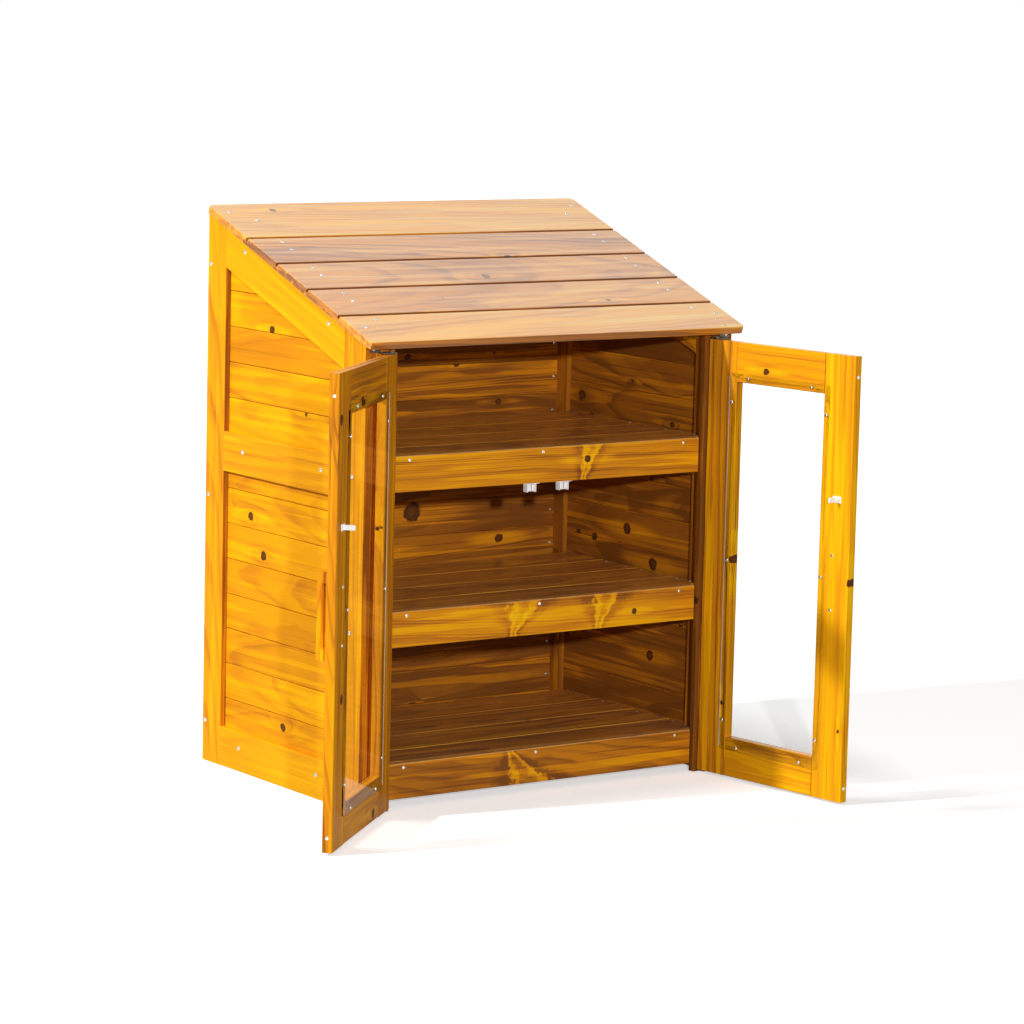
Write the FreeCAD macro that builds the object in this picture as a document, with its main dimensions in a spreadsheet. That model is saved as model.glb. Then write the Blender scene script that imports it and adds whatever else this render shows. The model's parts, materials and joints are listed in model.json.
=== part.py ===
import FreeCAD, Part
import Sketcher
import os
import re
from math import ceil

# Wooden mini greenhouse: a lean-to cabinet with a sloping board roof, three shelves
# and two glazed doors that stand open.
#
# Frame: origin on the ground, half way along the foot rail of the back wall and in the
# middle of the rail's thickness. +X is to the right seen from the front, +Y to the
# back, +Z up. Millimetres.
#
# Four local frames are used. In the cabinet's, y is measured from the front plane.
# In the roof's, y runs up the slope and z is square to it. Each door's frame has its
# pivot axis as z and the door, shut, lies along x.

# Driving sizes
SIZES = {
    # Cabinet as a whole
    "width": (900, "outside width over the side walls"),
    "depth": (600, "front plane to rear plane"),
    "side_height": (929, "height of the side walls at the front plane"),
    "roof_slope": (20, "degrees"),
    # Timber stock
    "frame_thickness": (36, "side wall frames"),
    "rail_width": (82, "rails and door members"),
    "rear_stile_width": (70, "side wall rear stiles"),
    "front_stile_width": (61, "side wall front stiles"),
    "board_thickness": (10, "tongued and grooved boards"),
    "board_cover": (73.2, "tongued and grooved boards, covered width"),
    "board_gap": (0.6, "open joint between two board shoulders"),
    "board_chamfer": (1.4, "chamfer along each board joint"),
    "tongue_thickness": (3, "tongue of a board"),
    "tongue_height": (5, "tongue of a board"),
    "tongue_play": (0.5, "play of a tongue in its groove"),
    "arris": (2, "rounding of the long edges of frames"),
    "small_arris": (1.2, "rounding of the edges of shelf boards and battens"),
    # Side walls
    "middle_rail_height": (616, "underside of the middle rail"),
    "panel_groove": (8, "depth of the groove that holds the infill boards"),
    "panel_play": (1, "play of the infill boards at the bottom of the groove"),
    "groove_play": (0.2, "groove width beyond the board thickness"),
    "lower_first_joint": (60, "first board joint above the bottom rail"),
    "upper_first_joint": (70, "first board joint above the middle rail"),
    # Front boards
    "front_board_width": (68, "boards that cover the front stiles"),
    "front_board_thickness": (14, "boards that cover the front stiles"),
    # Back wall
    "batten_thickness": (26, "upright battens behind the back boards"),
    "batten_width": (30, "upright battens behind the back boards"),
    "foot_rail_height": (44, "rail along the foot of the back wall"),
    "back_first_joint": (77, "first board joint above the ground"),
    # Roof
    "roof_thickness": (15, "roof boards"),
    "roof_cover": (123.4, "roof boards, covered width"),
    "roof_front_overhang": (30, "roof in front of the front plane, along the slope"),
    "roof_side_overhang": (10, "roof beyond each side wall"),
    "roof_rear_setback": (6, "roof short of the rear plane, along the slope"),
    "roof_groove": (7, "open groove between two roof boards"),
    "roof_lip": (8, "lip of a roof board under the next one"),
    "roof_lip_play": (0.8, "play between a lip's end and the next board"),
    "roof_lip_gap": (0.2, "play between a lip and the board over it"),
    "roof_corner": (12, "rounded corners of the roof"),
    "roof_arris": (2.5, "rounded top edges of the roof boards"),
    "roof_batten_width": (48, "battens that tie the roof boards"),
    "roof_batten_depth": (42, "battens that tie the roof boards"),
    "roof_batten_end": (24, "batten ends clear of the front and back walls"),
    # Shelves
    "lower_shelf": (89, "top of the lower shelf"),
    "middle_shelf": (394, "top of the middle shelf"),
    "upper_shelf": (703, "top of the upper shelf"),
    "apron_height": (72, "aprons along the shelf fronts"),
    "apron_thickness": (18, "aprons along the shelf fronts"),
    "apron_setback": (7, "apron faces behind the front plane"),
    "apron_end_gap": (5, "between an apron's end and the front board"),
    "shelf_thickness": (18, "shelf boards"),
    "shelf_pitch": (125, "shelf boards, board and gap"),
    "shelf_gap": (2, "between two shelf boards"),
    "shelf_side_gap": (2, "between shelf boards and side walls"),
    "first_shelf_board": (97, "ripped board behind the apron"),
    "bearer_width": (28, "bearers under the shelf ends"),
    "bearer_height": (44, "bearers under the shelf ends"),
    # Doors
    "door_thickness": (20, "door members"),
    "door_bottom": (6, "door's lower edge above the ground"),
    "door_top": (908, "door's upper edge above the ground"),
    "hinge_edge_inset": (38, "shut door's hinge edge from the side wall's face"),
    "meeting_gap": (7, "between the two shut doors"),
    "door_gap": (5, "between a shut door and the front boards"),
    "door_arris": (3, "rounding of the doors' upright edges"),
    "pivot_inset": (12, "pivot axis from the hinge edge"),
    "pivot_depth": (10, "pivot axis from the door's inner face"),
    "left_door_open": (138.4, "degrees from shut"),
    "right_door_open": (97.1, "degrees from shut"),
    # Panes
    "pane_thickness": (3, "clear sheet on the door's inner face"),
    "pane_overlap": (18, "pane over the stiles and the top rail"),
    "pane_drop": (26, "pane over the bottom rail"),
    "pane_corner": (8, "rounded corners of the pane"),
    "pane_screw_edge": (8, "screws from the pane's edge"),
    "pane_screw_rise": (117, "lowest side screws above the door's lower edge"),
    "pane_screw_drop": (124, "highest side screws below the door's upper edge"),
    "pane_screw_spread": (178, "between the two screws of a rail"),
    # Handles
    "handle_length": (168, "grip bar"),
    "handle_width": (22, "grip bar"),
    "handle_reach": (28, "grip bar, from the door's outer face"),
    "handle_inset": (45.5, "grip bar's centre from the door's free edge"),
    "handle_height": (448.5, "grip bar's centre above the ground"),
    "handle_screws": (111, "between the two screws of a grip bar"),
    "handle_arris": (3, "rounded edges of the grip bar"),
    "finger_groove": (5, "depth of the finger groove in each flank"),
    "finger_groove_width": (12, "width of the finger groove in each flank"),
    "finger_groove_foot": (3, "foot of the grip bar under the groove"),
    "finger_groove_end": (22, "solid ends of the grip bar beyond the groove"),
    # Strikes and catches
    "strike_inset": (36.5, "strike's centre from the door's free edge"),
    "strike_width": (22, "strike plate"),
    "strike_height": (13, "strike plate"),
    "strike_thickness": (1.5, "strike plate"),
    "strike_foot": (611.5, "strike plate's lower edge above the ground"),
    "strike_screws": (14, "between the two screws of a strike"),
    "tongue_bar_width": (4, "strike's tongue"),
    "tongue_bar_height": (10, "strike's tongue"),
    "tongue_bar_reach": (23, "strike's tongue, from its plate"),
    "tongue_taper": (2, "length of the tongue's narrower tip"),
    "tongue_tip_width": (1.6, "strike's tongue at its tip"),
    "catch_width": (22, "catch housing"),
    "catch_depth": (14, "catch housing"),
    "catch_height": (17, "catch housing"),
    "catch_setback": (4, "catch housing behind the apron's face"),
    "catch_plate": (1.5, "catch mounting plate"),
    "catch_ear": (8, "mounting plate beyond the housing"),
    "catch_wall": (1.6, "side walls of the housing"),
    "catch_mouth": (12, "depth of the roller pocket"),
    "roller_diameter": (5.6, "catch rollers"),
    "roller_height": (12, "catch rollers"),
    "roller_gap": (6.6, "between the two rollers of a catch"),
    "roller_setback": (5, "roller axes behind the housing's front"),
    "spindle_diameter": (2.5, "roller spindles"),
    # Pivot brackets
    "bracket_thickness": (2, "steel of the pivot brackets"),
    "bracket_inset": (10, "bracket from the side wall's face"),
    "bracket_length": (24, "upright leaf of a bracket"),
    "bracket_height": (12, "upright leaf of a bracket"),
    "bracket_lap": (8, "arm behind the inner end of the leaf"),
    "bracket_end": (8, "arm beyond the pivot axis"),
    "bracket_play": (0.8, "between a bracket arm and the door"),
    "pivot_diameter": (5, "pivot screws"),
    "pivot_play": (0.05, "radial play of a pivot screw in its bracket"),
    "pivot_bite": (30, "pivot screw in the door"),
    "pivot_head_diameter": (9, "pivot screws"),
    "pivot_head_height": (1.6, "pivot screws"),
    "pivot_head_play": (0.3, "between a pivot screw's head and its bracket"),
    # Screws
    "screw_diameter": (4, "shank of the large screws"),
    "screw_head": (9.5, "head of the large screws"),
    "screw_head_height": (2.6, "head of the large screws"),
    "head_rounding": (0.8, "rounded share of a screw head's height"),
    "screw_bite": (22, "large screws in the second piece"),
    "small_screw_diameter": (3, "shank of the small screws"),
    "small_screw_head": (7, "head of the small screws"),
    "small_screw_head_height": (1.6, "head of the small screws"),
    "small_screw_bite": (12, "small screws in the second piece"),
    "tiny_screw_head": (4.6, "head of the catch and strike screws"),
    "screw_end_play": (1, "hole beyond the tip of a screw"),
    "long_screw_bite": (30, "door frame screws in the rail"),
    # Places of screws
    "wall_screw_rear": (147, "rear screws of the rails from the rear plane"),
    "wall_screw_front": (154, "front screws of the rails from the front plane"),
    "top_screw_front": (134, "front screw of the sloping rail from the front plane"),
    "stile_screw": (13, "rear stile screws from the rear plane"),
    "stile_screw_top": (1038, "highest rear stile screw"),
    "stile_screw_middle": (561, "middle rear stile screw"),
    "stile_screw_bottom": (86, "lowest rear stile screw"),
    "front_stile_screw": (42, "front stile screws from the front plane"),
    "back_screw_inset": (9, "back wall screws from the side wall"),
    "foot_screw_spread": (250, "between the screws of the foot rail"),
    "roof_screw_inset": (60, "roof screws into the battens, from the side wall's face"),
    "roof_screw_edge": (24, "roof screws from a board's upper joint"),
    "roof_screw_spread": (37, "between the two roof screws of a board"),
    "roof_outer_screw": (19.5, "roof screws into the side walls, from their face"),
    "roof_outer_front": (38, "front roof screw into the side wall, along the slope"),
    "roof_outer_rear": (591, "rear roof screw into the side wall, along the slope"),
    "apron_screw_end": (39, "apron screws from the apron's end"),
    "apron_screw_offset": (17, "middle apron screw to the left of the centre"),
    "shelf_screw_edge": (26, "shelf screws from a board's edge"),
    "bracket_screw": (8, "bracket screw from the bracket's outer end"),
    "frame_screw_high": (42, "upper frame screw from the door's upper edge"),
    "frame_screw_low": (28, "lower frame screw from the door's lower edge"),
}

doc = FreeCAD.newDocument("mini_greenhouse")
sheet = doc.addObject("Spreadsheet::Sheet", "sizes")
for row, (alias, (number, note)) in enumerate(SIZES.items(), start=1):
    sheet.set(f"A{row}", alias)
    sheet.set(f"B{row}", str(number))
    sheet.set(f"C{row}", note)
    sheet.setAlias(f"B{row}", alias)
doc.recompute()

# Every sub-part to be written, by its label
parts = {}

# Edges are picked by their place to within this much
CLOSE = 0.01
PARALLEL = 0.999


# Expressions and frames
def bound(text):
    """The expression with each size named by its cell."""
    return re.sub(r"[a-z][a-z_]*", lambda word: f"sizes.{word[0]}" if word[0] in SIZES else word[0], text)


def value(text):
    """The expression's present value."""
    return float(sheet.evalExpression(bound(text)))


def bind(thing, **settings):
    """Bind properties of a feature to expressions."""
    for name, text in settings.items():
        thing.setExpression(name, bound(text))


def place(thing, frame):
    """Bind the placement of a sub-part to its frame."""
    for path, text in frame.items():
        thing.setExpression(f"Placement.{path}", bound(text))


RISE = "tan(roof_slope * 1 deg)"
SLANT = "cos(roof_slope * 1 deg)"
FRONT = "(batten_thickness / 2 - depth)"
BACK_FACE = "(depth - batten_thickness - board_thickness)"
PIVOT_X = "(width / 2 - hinge_edge_inset - pivot_inset)"
PIVOT_Y = "(-door_gap - pivot_depth)"
DOOR_WIDTH = "(width / 2 - hinge_edge_inset - meeting_gap / 2)"
FREE_EDGE = f"({DOOR_WIDTH} - pivot_inset)"
ROOF_FRONT = "(-roof_front_overhang)"
ROOF_REAR = f"(depth / {SLANT} - roof_rear_setback)"

CABINET = {"Base.y": FRONT}
ROOF = {"Base.y": FRONT, "Base.z": "side_height", "Rotation.Axis.x": "1", "Rotation.Axis.z": "0",
        "Rotation.Angle": "roof_slope"}
DOORS = {
    "left": {"Base.x": f"-{PIVOT_X}", "Base.y": f"{FRONT} + {PIVOT_Y}", "Rotation.Angle": "-left_door_open"},
    "right": {"Base.x": PIVOT_X, "Base.y": f"{FRONT} + {PIVOT_Y}", "Rotation.Angle": "right_door_open"},
}
SIDES = {"left": -1, "right": 1}

# Heads that are driven half into the wood
HALF_SUNK = "(screw_head_height / 2)"
SMALL_HALF_SUNK = "(small_screw_head_height / 2)"

# Sketch normals: a sketch on XZ looks towards -Y
NORMALS = {"XY_Plane": 1, "XZ_Plane": -1, "YZ_Plane": 1}


def under_roof(y):
    """Height of the roof's underside at a depth behind the front plane."""
    return f"(side_height + ({y}) * {RISE})"


# Sketches and features
def new_body(label, frame):
    body = doc.addObject("PartDesign::Body", label)
    body.Label = label
    body.AllowCompound = True
    place(body, frame)
    return body


def new_sketch(body, name, plane, level):
    """A sketch on one of the body's origin planes, raised to a level."""
    sketch = body.newObject("Sketcher::SketchObject", f"{body.Label}_{name}")
    support = next(item for item in body.Origin.OriginFeatures if item.Role == plane)
    sketch.AttachmentSupport = [(support, "")]
    sketch.MapMode = "FlatFace"
    sketch.setExpression("AttachmentOffset.Base.z", bound(f"{NORMALS[plane]} * ({level})"))
    return sketch


def fix_point(sketch, geometry, point, corner):
    """Hold a point of a sketch at two expressions."""
    for kind, text in zip(("DistanceX", "DistanceY"), corner):
        index = sketch.addConstraint(Sketcher.Constraint(kind, -1, 1, geometry, point, value(text)))
        sketch.setExpression(f"Constraints[{index}]", bound(text))


def draw_outline(sketch, corners):
    """A closed outline of straight lines through the corners."""
    spots = [FreeCAD.Vector(value(x), value(y), 0) for x, y in corners]
    first = sketch.GeometryCount
    count = len(corners)
    for index, spot in enumerate(spots):
        sketch.addGeometry(Part.LineSegment(spot, spots[(index + 1) % count]), False)
    for index in range(count):
        following = first + (index + 1) % count
        sketch.addConstraint(Sketcher.Constraint("Coincident", first + index, 2, following, 1))
    for index, corner in enumerate(corners):
        fix_point(sketch, first + index, 1, corner)


def draw_circles(sketch, centres, diameter):
    """Circles of one diameter at the centres."""
    for centre in centres:
        spot = FreeCAD.Vector(value(centre[0]), value(centre[1]), 0)
        index = sketch.addGeometry(Part.Circle(spot, FreeCAD.Vector(0, 0, 1), value(diameter) / 2), False)
        fix_point(sketch, index, 3, centre)
        size = sketch.addConstraint(Sketcher.Constraint("Diameter", index, value(diameter)))
        sketch.setExpression(f"Constraints[{size}]", bound(diameter))


def pad_outlines(body, name, plane, outlines, thickness, centre="0"):
    """Pad outlines evenly to both sides of a centre plane."""
    sketch = new_sketch(body, name, plane, centre)
    for corners in outlines:
        draw_outline(sketch, corners)
    pad = body.newObject("PartDesign::Pad", f"{body.Label}_{name}_pad")
    pad.Profile = sketch
    pad.Midplane = True
    bind(pad, Length=thickness)
    return pad


def timber(label, frame, plane, outlines, thickness, centre="0"):
    """A sub-part that is one or more flat outlines given a thickness."""
    body = new_body(label, frame)
    pad_outlines(body, "outline", plane, outlines, thickness, centre)
    parts[label] = body
    return body


def rectangle(low, high):
    return [(low[0], low[1]), (high[0], low[1]), (high[0], high[1]), (low[0], high[1])]


def round_edges(body, radius, chosen, name="arrises"):
    """Round the edges of a body that a test picks."""
    doc.recompute()
    base = body.Tip
    names = [f"Edge{number}" for number, edge in enumerate(base.Shape.Edges, start=1) if chosen(edge)]
    fillet = body.newObject("PartDesign::Fillet", f"{body.Label}_{name}")
    fillet.Base = (base, names)
    bind(fillet, Radius=radius)


def runs_along(direction):
    """A test for straight edges in a direction."""
    wanted = FreeCAD.Vector(direction).normalize()

    def test(edge):
        if edge.Curve.TypeId != "Part::GeomLine":
            return False
        return abs(edge.Curve.Direction.normalize().dot(wanted)) > PARALLEL
    return test


def drill(body, name, plane, level, centres, diameter, depth):
    """Round holes from a level, as deep to each side of it."""
    sketch = new_sketch(body, name, plane, level)
    draw_circles(sketch, centres, diameter)
    pocket = body.newObject("PartDesign::Pocket", f"{body.Label}_{name}_pocket")
    pocket.Profile = sketch
    pocket.Midplane = True
    bind(pocket, Length=f"2 * ({depth})")


def shafts(label, frame, plane, level, centres, diameter, depth):
    """A cutting tool: round shafts from a level, as deep to each side of it."""
    body = new_body(label, frame)
    sketch = new_sketch(body, "shafts", plane, level)
    draw_circles(sketch, centres, diameter)
    pad = body.newObject("PartDesign::Pad", f"{label}_pad")
    pad.Profile = sketch
    pad.Midplane = True
    bind(pad, Length=f"2 * ({depth})")
    return body


def add_screws(body, name, plane, level, side, centres, shank, head, head_height, length):
    """Screws with domed heads on a level; side tells which way the heads stand out."""
    heads = new_sketch(body, f"{name}_heads", plane, level)
    draw_circles(heads, centres, head)
    head_pad = body.newObject("PartDesign::Pad", f"{body.Label}_{name}_head_pad")
    head_pad.Profile = heads
    head_pad.Reversed = side * NORMALS[plane] < 0
    bind(head_pad, Length=head_height)
    doc.recompute()
    axis = {"XY_Plane": 2, "XZ_Plane": 1, "YZ_Plane": 0}[plane]
    crown = value(level) + side * value(head_height)

    def rim(edge):
        return edge.Curve.TypeId == "Part::GeomCircle" and abs(edge.Curve.Center[axis] - crown) < CLOSE
    round_edges(body, f"head_rounding * ({head_height})", rim, f"{name}_domes")
    shanks = new_sketch(body, f"{name}_shanks", plane, level)
    draw_circles(shanks, centres, shank)
    shank_pad = body.newObject("PartDesign::Pad", f"{body.Label}_{name}_shank_pad")
    shank_pad.Profile = shanks
    shank_pad.Reversed = side * NORMALS[plane] > 0
    bind(shank_pad, Length=length)


def group(label, members):
    """One sub-part that holds several like pieces."""
    compound = doc.addObject("Part::Compound", label)
    compound.Label = label
    compound.Links = members
    parts[label] = compound


def cut_by(label, base, tool):
    """The sub-part that is left of a base when a tool has cut it."""
    cut = doc.addObject("Part::Cut", label)
    base.Label = f"{label} before grooving"
    cut.Label = label
    cut.Base = base
    cut.Tool = tool
    parts[label] = cut


# Tongued and grooved boards
BOARD_FACE = "(board_cover - board_gap)"


def board_outline(middle, foot):
    """End outline of one board, as (across the wall, up the wall)."""
    half = "board_thickness / 2"
    shoulder = f"({half} - board_chamfer)"
    groove = "(tongue_thickness / 2 + tongue_play / 2)"
    corners = [
        (f"-{half}", "board_chamfer"),
        (f"-{half}", f"{BOARD_FACE} - board_chamfer"),
        (f"-{shoulder}", BOARD_FACE),
        ("-tongue_thickness / 2", BOARD_FACE),
        ("-tongue_thickness / 2", f"{BOARD_FACE} + tongue_height"),
        ("tongue_thickness / 2", f"{BOARD_FACE} + tongue_height"),
        ("tongue_thickness / 2", BOARD_FACE),
        (shoulder, BOARD_FACE),
        (half, f"{BOARD_FACE} - board_chamfer"),
        (half, "board_chamfer"),
        (shoulder, "0"),
        (groove, "0"),
        (groove, "tongue_height + tongue_play"),
        (f"-{groove}", "tongue_height + tongue_play"),
        (f"-{groove}", "0"),
        (f"-{shoulder}", "0"),
    ]
    return [(f"({middle}) + {across}", f"({foot}) + {up}") for across, up in corners]


def board_wall(label, plane, middle, first_joint, height, run, centre):
    """Boards stacked up a wall. One board is padded and repeated up the wall."""
    body = new_body(f"{label} boards uncut", CABINET)
    foot = f"(({first_joint}) - board_cover)"
    pad = pad_outlines(body, "board", plane, [board_outline(middle, foot)], run, centre)
    rows = ceil(value(f"(({height}) - {foot}) / board_cover"))
    pattern = body.newObject("PartDesign::LinearPattern", "board_rows")
    pattern.Originals = [pad]
    pattern.Direction = (pad.Profile[0], ["V_Axis"])
    pattern.Occurrences = rows
    bind(pattern, Length=f"{rows - 1} * board_cover")
    body.Tip = pattern
    return body


def trimmed_wall(label, boards, opening):
    """The boards of a wall, cut to its opening."""
    common = doc.addObject("Part::Common", label)
    common.Label = label
    common.Base = boards
    common.Tool = opening
    parts[label] = common


# Side walls
PANEL_FRONT = "(front_board_thickness + front_stile_width)"
PANEL_REAR = "(depth - rear_stile_width)"
MIDDLE_RAIL_TOP = "(middle_rail_height + rail_width)"


def rail_underside(y, cover="rail_width"):
    """Height of the sloping rail's lower edge at a depth."""
    return f"({under_roof(y)} - ({cover}) / {SLANT})"


def panel_outlines(grow):
    """Lower and upper panel of a side wall, let into the frame by an amount."""
    front = f"({PANEL_FRONT} - ({grow}))"
    rear = f"({PANEL_REAR} + ({grow}))"
    cover = f"rail_width - ({grow})"
    lower = rectangle((front, f"rail_width - ({grow})"), (rear, f"middle_rail_height + ({grow})"))
    sill = f"({MIDDLE_RAIL_TOP} - ({grow}))"
    upper = [(front, sill), (rear, sill), (rear, rail_underside(rear, cover)),
             (front, rail_underside(front, cover))]
    return lower, upper


def panel_tool(label, outlines, thickness, centre):
    body = new_body(label, CABINET)
    pad_outlines(body, "outline", "YZ_Plane", outlines, thickness, centre)
    return body


WALL_HEIGHTS = {
    "middle_rail": "(upper_shelf - shelf_thickness - bearer_height / 2)",
    "bottom_rail": "(lower_shelf - shelf_thickness - bearer_height / 2)",
    "middle_shelf": "(middle_shelf - shelf_thickness - bearer_height / 2)",
}
OUTER_SCREW_X = "(width / 2 - roof_outer_screw)"
REAR_Y = "(depth - wall_screw_rear)"
FRONT_Y = "wall_screw_front"
STILE_Y = "(depth - stile_screw)"


def batten_middle(y):
    """Height half way down the roof batten at a depth."""
    return f"({under_roof(y)} - roof_batten_depth / 2 / {SLANT})"


RAIL_SCREWS = {
    "top_rail": [(y, batten_middle(y)) for y in (REAR_Y, "top_screw_front")],
    "middle_rail": [(REAR_Y, WALL_HEIGHTS["middle_rail"]), (FRONT_Y, WALL_HEIGHTS["middle_rail"])],
    "bottom_rail": [(REAR_Y, WALL_HEIGHTS["bottom_rail"]), (FRONT_Y, WALL_HEIGHTS["bottom_rail"])],
    "rear_stile": [(STILE_Y, "stile_screw_top"), (STILE_Y, "stile_screw_middle"),
                   (STILE_Y, "stile_screw_bottom")],
    "front_stile": [("front_stile_screw", WALL_HEIGHTS["middle_rail"]),
                    ("front_stile_screw", WALL_HEIGHTS["middle_shelf"])],
}

MEMBERS = {
    "rear_stile": ([(PANEL_REAR, "0"), ("depth", "0"), ("depth", under_roof("depth")),
                    (PANEL_REAR, under_roof(PANEL_REAR))], "upright"),
    "front_stile": ([("front_board_thickness", "0"), (PANEL_FRONT, "0"),
                     (PANEL_FRONT, under_roof(PANEL_FRONT)),
                     ("front_board_thickness", under_roof("front_board_thickness"))], "upright"),
    "top_rail": ([(PANEL_FRONT, rail_underside(PANEL_FRONT)), (PANEL_REAR, rail_underside(PANEL_REAR)),
                  (PANEL_REAR, under_roof(PANEL_REAR)), (PANEL_FRONT, under_roof(PANEL_FRONT))], "sloping"),
    "middle_rail": (rectangle((PANEL_FRONT, "middle_rail_height"), (PANEL_REAR, MIDDLE_RAIL_TOP)), "level"),
    "bottom_rail": (rectangle((PANEL_FRONT, "0"), (PANEL_REAR, "rail_width")), "level"),
}
GRAIN = {
    "upright": FreeCAD.Vector(0, 0, 1),
    "level": FreeCAD.Vector(0, 1, 0),
    "sloping": FreeCAD.Vector(0, value(SLANT), value(RISE) * value(SLANT)),
}

for side, sign in SIDES.items():
    face = f"({sign} * width / 2)"
    middle = f"({sign} * (width / 2 - frame_thickness / 2))"
    groove = panel_tool(f"{side} panel grooves", panel_outlines("panel_groove"),
                        "board_thickness + groove_play", middle)
    for name, (corners, run) in MEMBERS.items():
        label = f"{side}_{name}"
        body = timber(label, CABINET, "YZ_Plane", [corners], "frame_thickness", middle)
        round_edges(body, "arris", runs_along(GRAIN[run]))
        drill(body, "screw_holes", "YZ_Plane", middle, RAIL_SCREWS[name], "screw_diameter", "frame_thickness")
        if name.endswith("stile"):
            edge = "roof_outer_front" if name == "front_stile" else "roof_outer_rear"
            roof_hole = shafts(f"{label} roof screw hole", ROOF, "XY_Plane", "0",
                               [(f"{sign} * {OUTER_SCREW_X}", edge)], "screw_diameter",
                               "screw_bite + screw_end_play")
            tools = doc.addObject("Part::Compound", f"{label} tools")
            tools.Links = [groove, roof_hole]
            cut_by(label, body, tools)
        else:
            cut_by(label, body, groove)
    fitted = panel_outlines("panel_groove - panel_play")
    for name, outline, rail_top, first in (
            ("lower", fitted[0], "rail_width", "lower_first_joint"),
            ("upper", fitted[1], MIDDLE_RAIL_TOP, "upper_first_joint")):
        top = "middle_rail_height + panel_groove" if name == "lower" else rail_underside(PANEL_REAR, "0")
        label = f"{side}_{name}_boards"
        opening = panel_tool(f"{label} opening", [outline], "frame_thickness", middle)
        boards = board_wall(label, "XZ_Plane", middle, f"{rail_top} + {first}", top,
                            "depth", "depth / 2")
        trimmed_wall(label, boards, opening)
    # Board that covers the front stile's edge
    front = timber(f"{side}_front_board", CABINET, "YZ_Plane",
                   [[("0", "0"), ("front_board_thickness", "0"),
                     ("front_board_thickness", under_roof("front_board_thickness")), ("0", under_roof("0"))]],
                   "front_board_width", f"{sign} * (width / 2 - front_board_width / 2)")
    upright = runs_along(GRAIN["upright"])
    round_edges(front, "arris", lambda edge: upright(edge) and abs(edge.Curve.Location.y) < CLOSE)

# Back wall
BACK_SCREW_X = "(width / 2 - frame_thickness - back_screw_inset)"
BACK_ROWS = ceil(value(f"({under_roof(BACK_FACE)} - back_first_joint + board_cover) / board_cover"))
BACK_SCREWS = [(f"{sign} * {BACK_SCREW_X}", f"back_first_joint + {row - 0.5} * board_cover")
               for sign in SIDES.values() for row in range(BACK_ROWS - 1)]
FOOT_SCREWS = [(f"{step} * foot_screw_spread", "foot_rail_height / 2") for step in (-1, 0, 1)]
BACK_MIDDLE = f"({BACK_FACE} + board_thickness / 2)"
BATTEN_FACE = f"({BACK_FACE} + board_thickness)"
BATTEN_MIDDLE = "(depth - batten_thickness / 2)"

back_opening = panel_tool("back wall opening", [[
    (BACK_FACE, "0"), (BATTEN_FACE, "0"),
    (BATTEN_FACE, under_roof(BATTEN_FACE)), (BACK_FACE, under_roof(BACK_FACE)),
]], "width - 2 * frame_thickness", "0")
back_boards = board_wall("back", "YZ_Plane", BACK_MIDDLE, "back_first_joint", under_roof(BATTEN_FACE),
                         "width", "0")
drill(back_boards, "screw_holes", "XZ_Plane", BACK_MIDDLE, BACK_SCREWS + FOOT_SCREWS, "small_screw_diameter",
      "board_thickness")
trimmed_wall("back_boards", back_boards, back_opening)

back_battens = []
for side, sign in SIDES.items():
    middle = f"({sign} * (width / 2 - frame_thickness - batten_width / 2))"
    batten = new_body(f"{side} back batten", CABINET)
    pad_outlines(batten, "outline", "YZ_Plane", [[
        (BATTEN_FACE, "0"), ("depth", "0"),
        ("depth", under_roof("depth")), (BATTEN_FACE, under_roof(BATTEN_FACE)),
    ]], "batten_width", middle)
    round_edges(batten, "small_arris", runs_along(GRAIN["upright"]))
    drill(batten, "board_screw_holes", "XZ_Plane", BATTEN_FACE,
          [centre for centre in BACK_SCREWS if value(centre[0]) * sign > 0],
          "small_screw_diameter", "small_screw_bite + screw_end_play")
    drill(batten, "stile_screw_holes", "YZ_Plane", f"({sign} * (width / 2 - frame_thickness))",
          RAIL_SCREWS["rear_stile"], "screw_diameter", "screw_bite + screw_end_play")
    back_battens.append(batten)
foot_rail = new_body("back foot rail", CABINET)
foot_rail_end = "(width / 2 - frame_thickness - batten_width)"
pad_outlines(foot_rail, "outline", "XZ_Plane",
             [rectangle((f"-{foot_rail_end}", "0"), (foot_rail_end, "foot_rail_height"))],
             "batten_thickness", BATTEN_MIDDLE)
round_edges(foot_rail, "small_arris", runs_along(FreeCAD.Vector(1, 0, 0)))
drill(foot_rail, "screw_holes", "XZ_Plane", BATTEN_FACE, FOOT_SCREWS, "small_screw_diameter",
      "small_screw_bite + screw_end_play")
back_battens.append(foot_rail)
group("back_battens", back_battens)

# Roof
ROOF_WIDTH = "(width + 2 * roof_side_overhang)"
HALF = "(roof_thickness / 2)"


def joint(number):
    """Place of the joint between two roof boards, counted from the front."""
    return f"({ROOF_FRONT} + {number} * roof_cover)"


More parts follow.
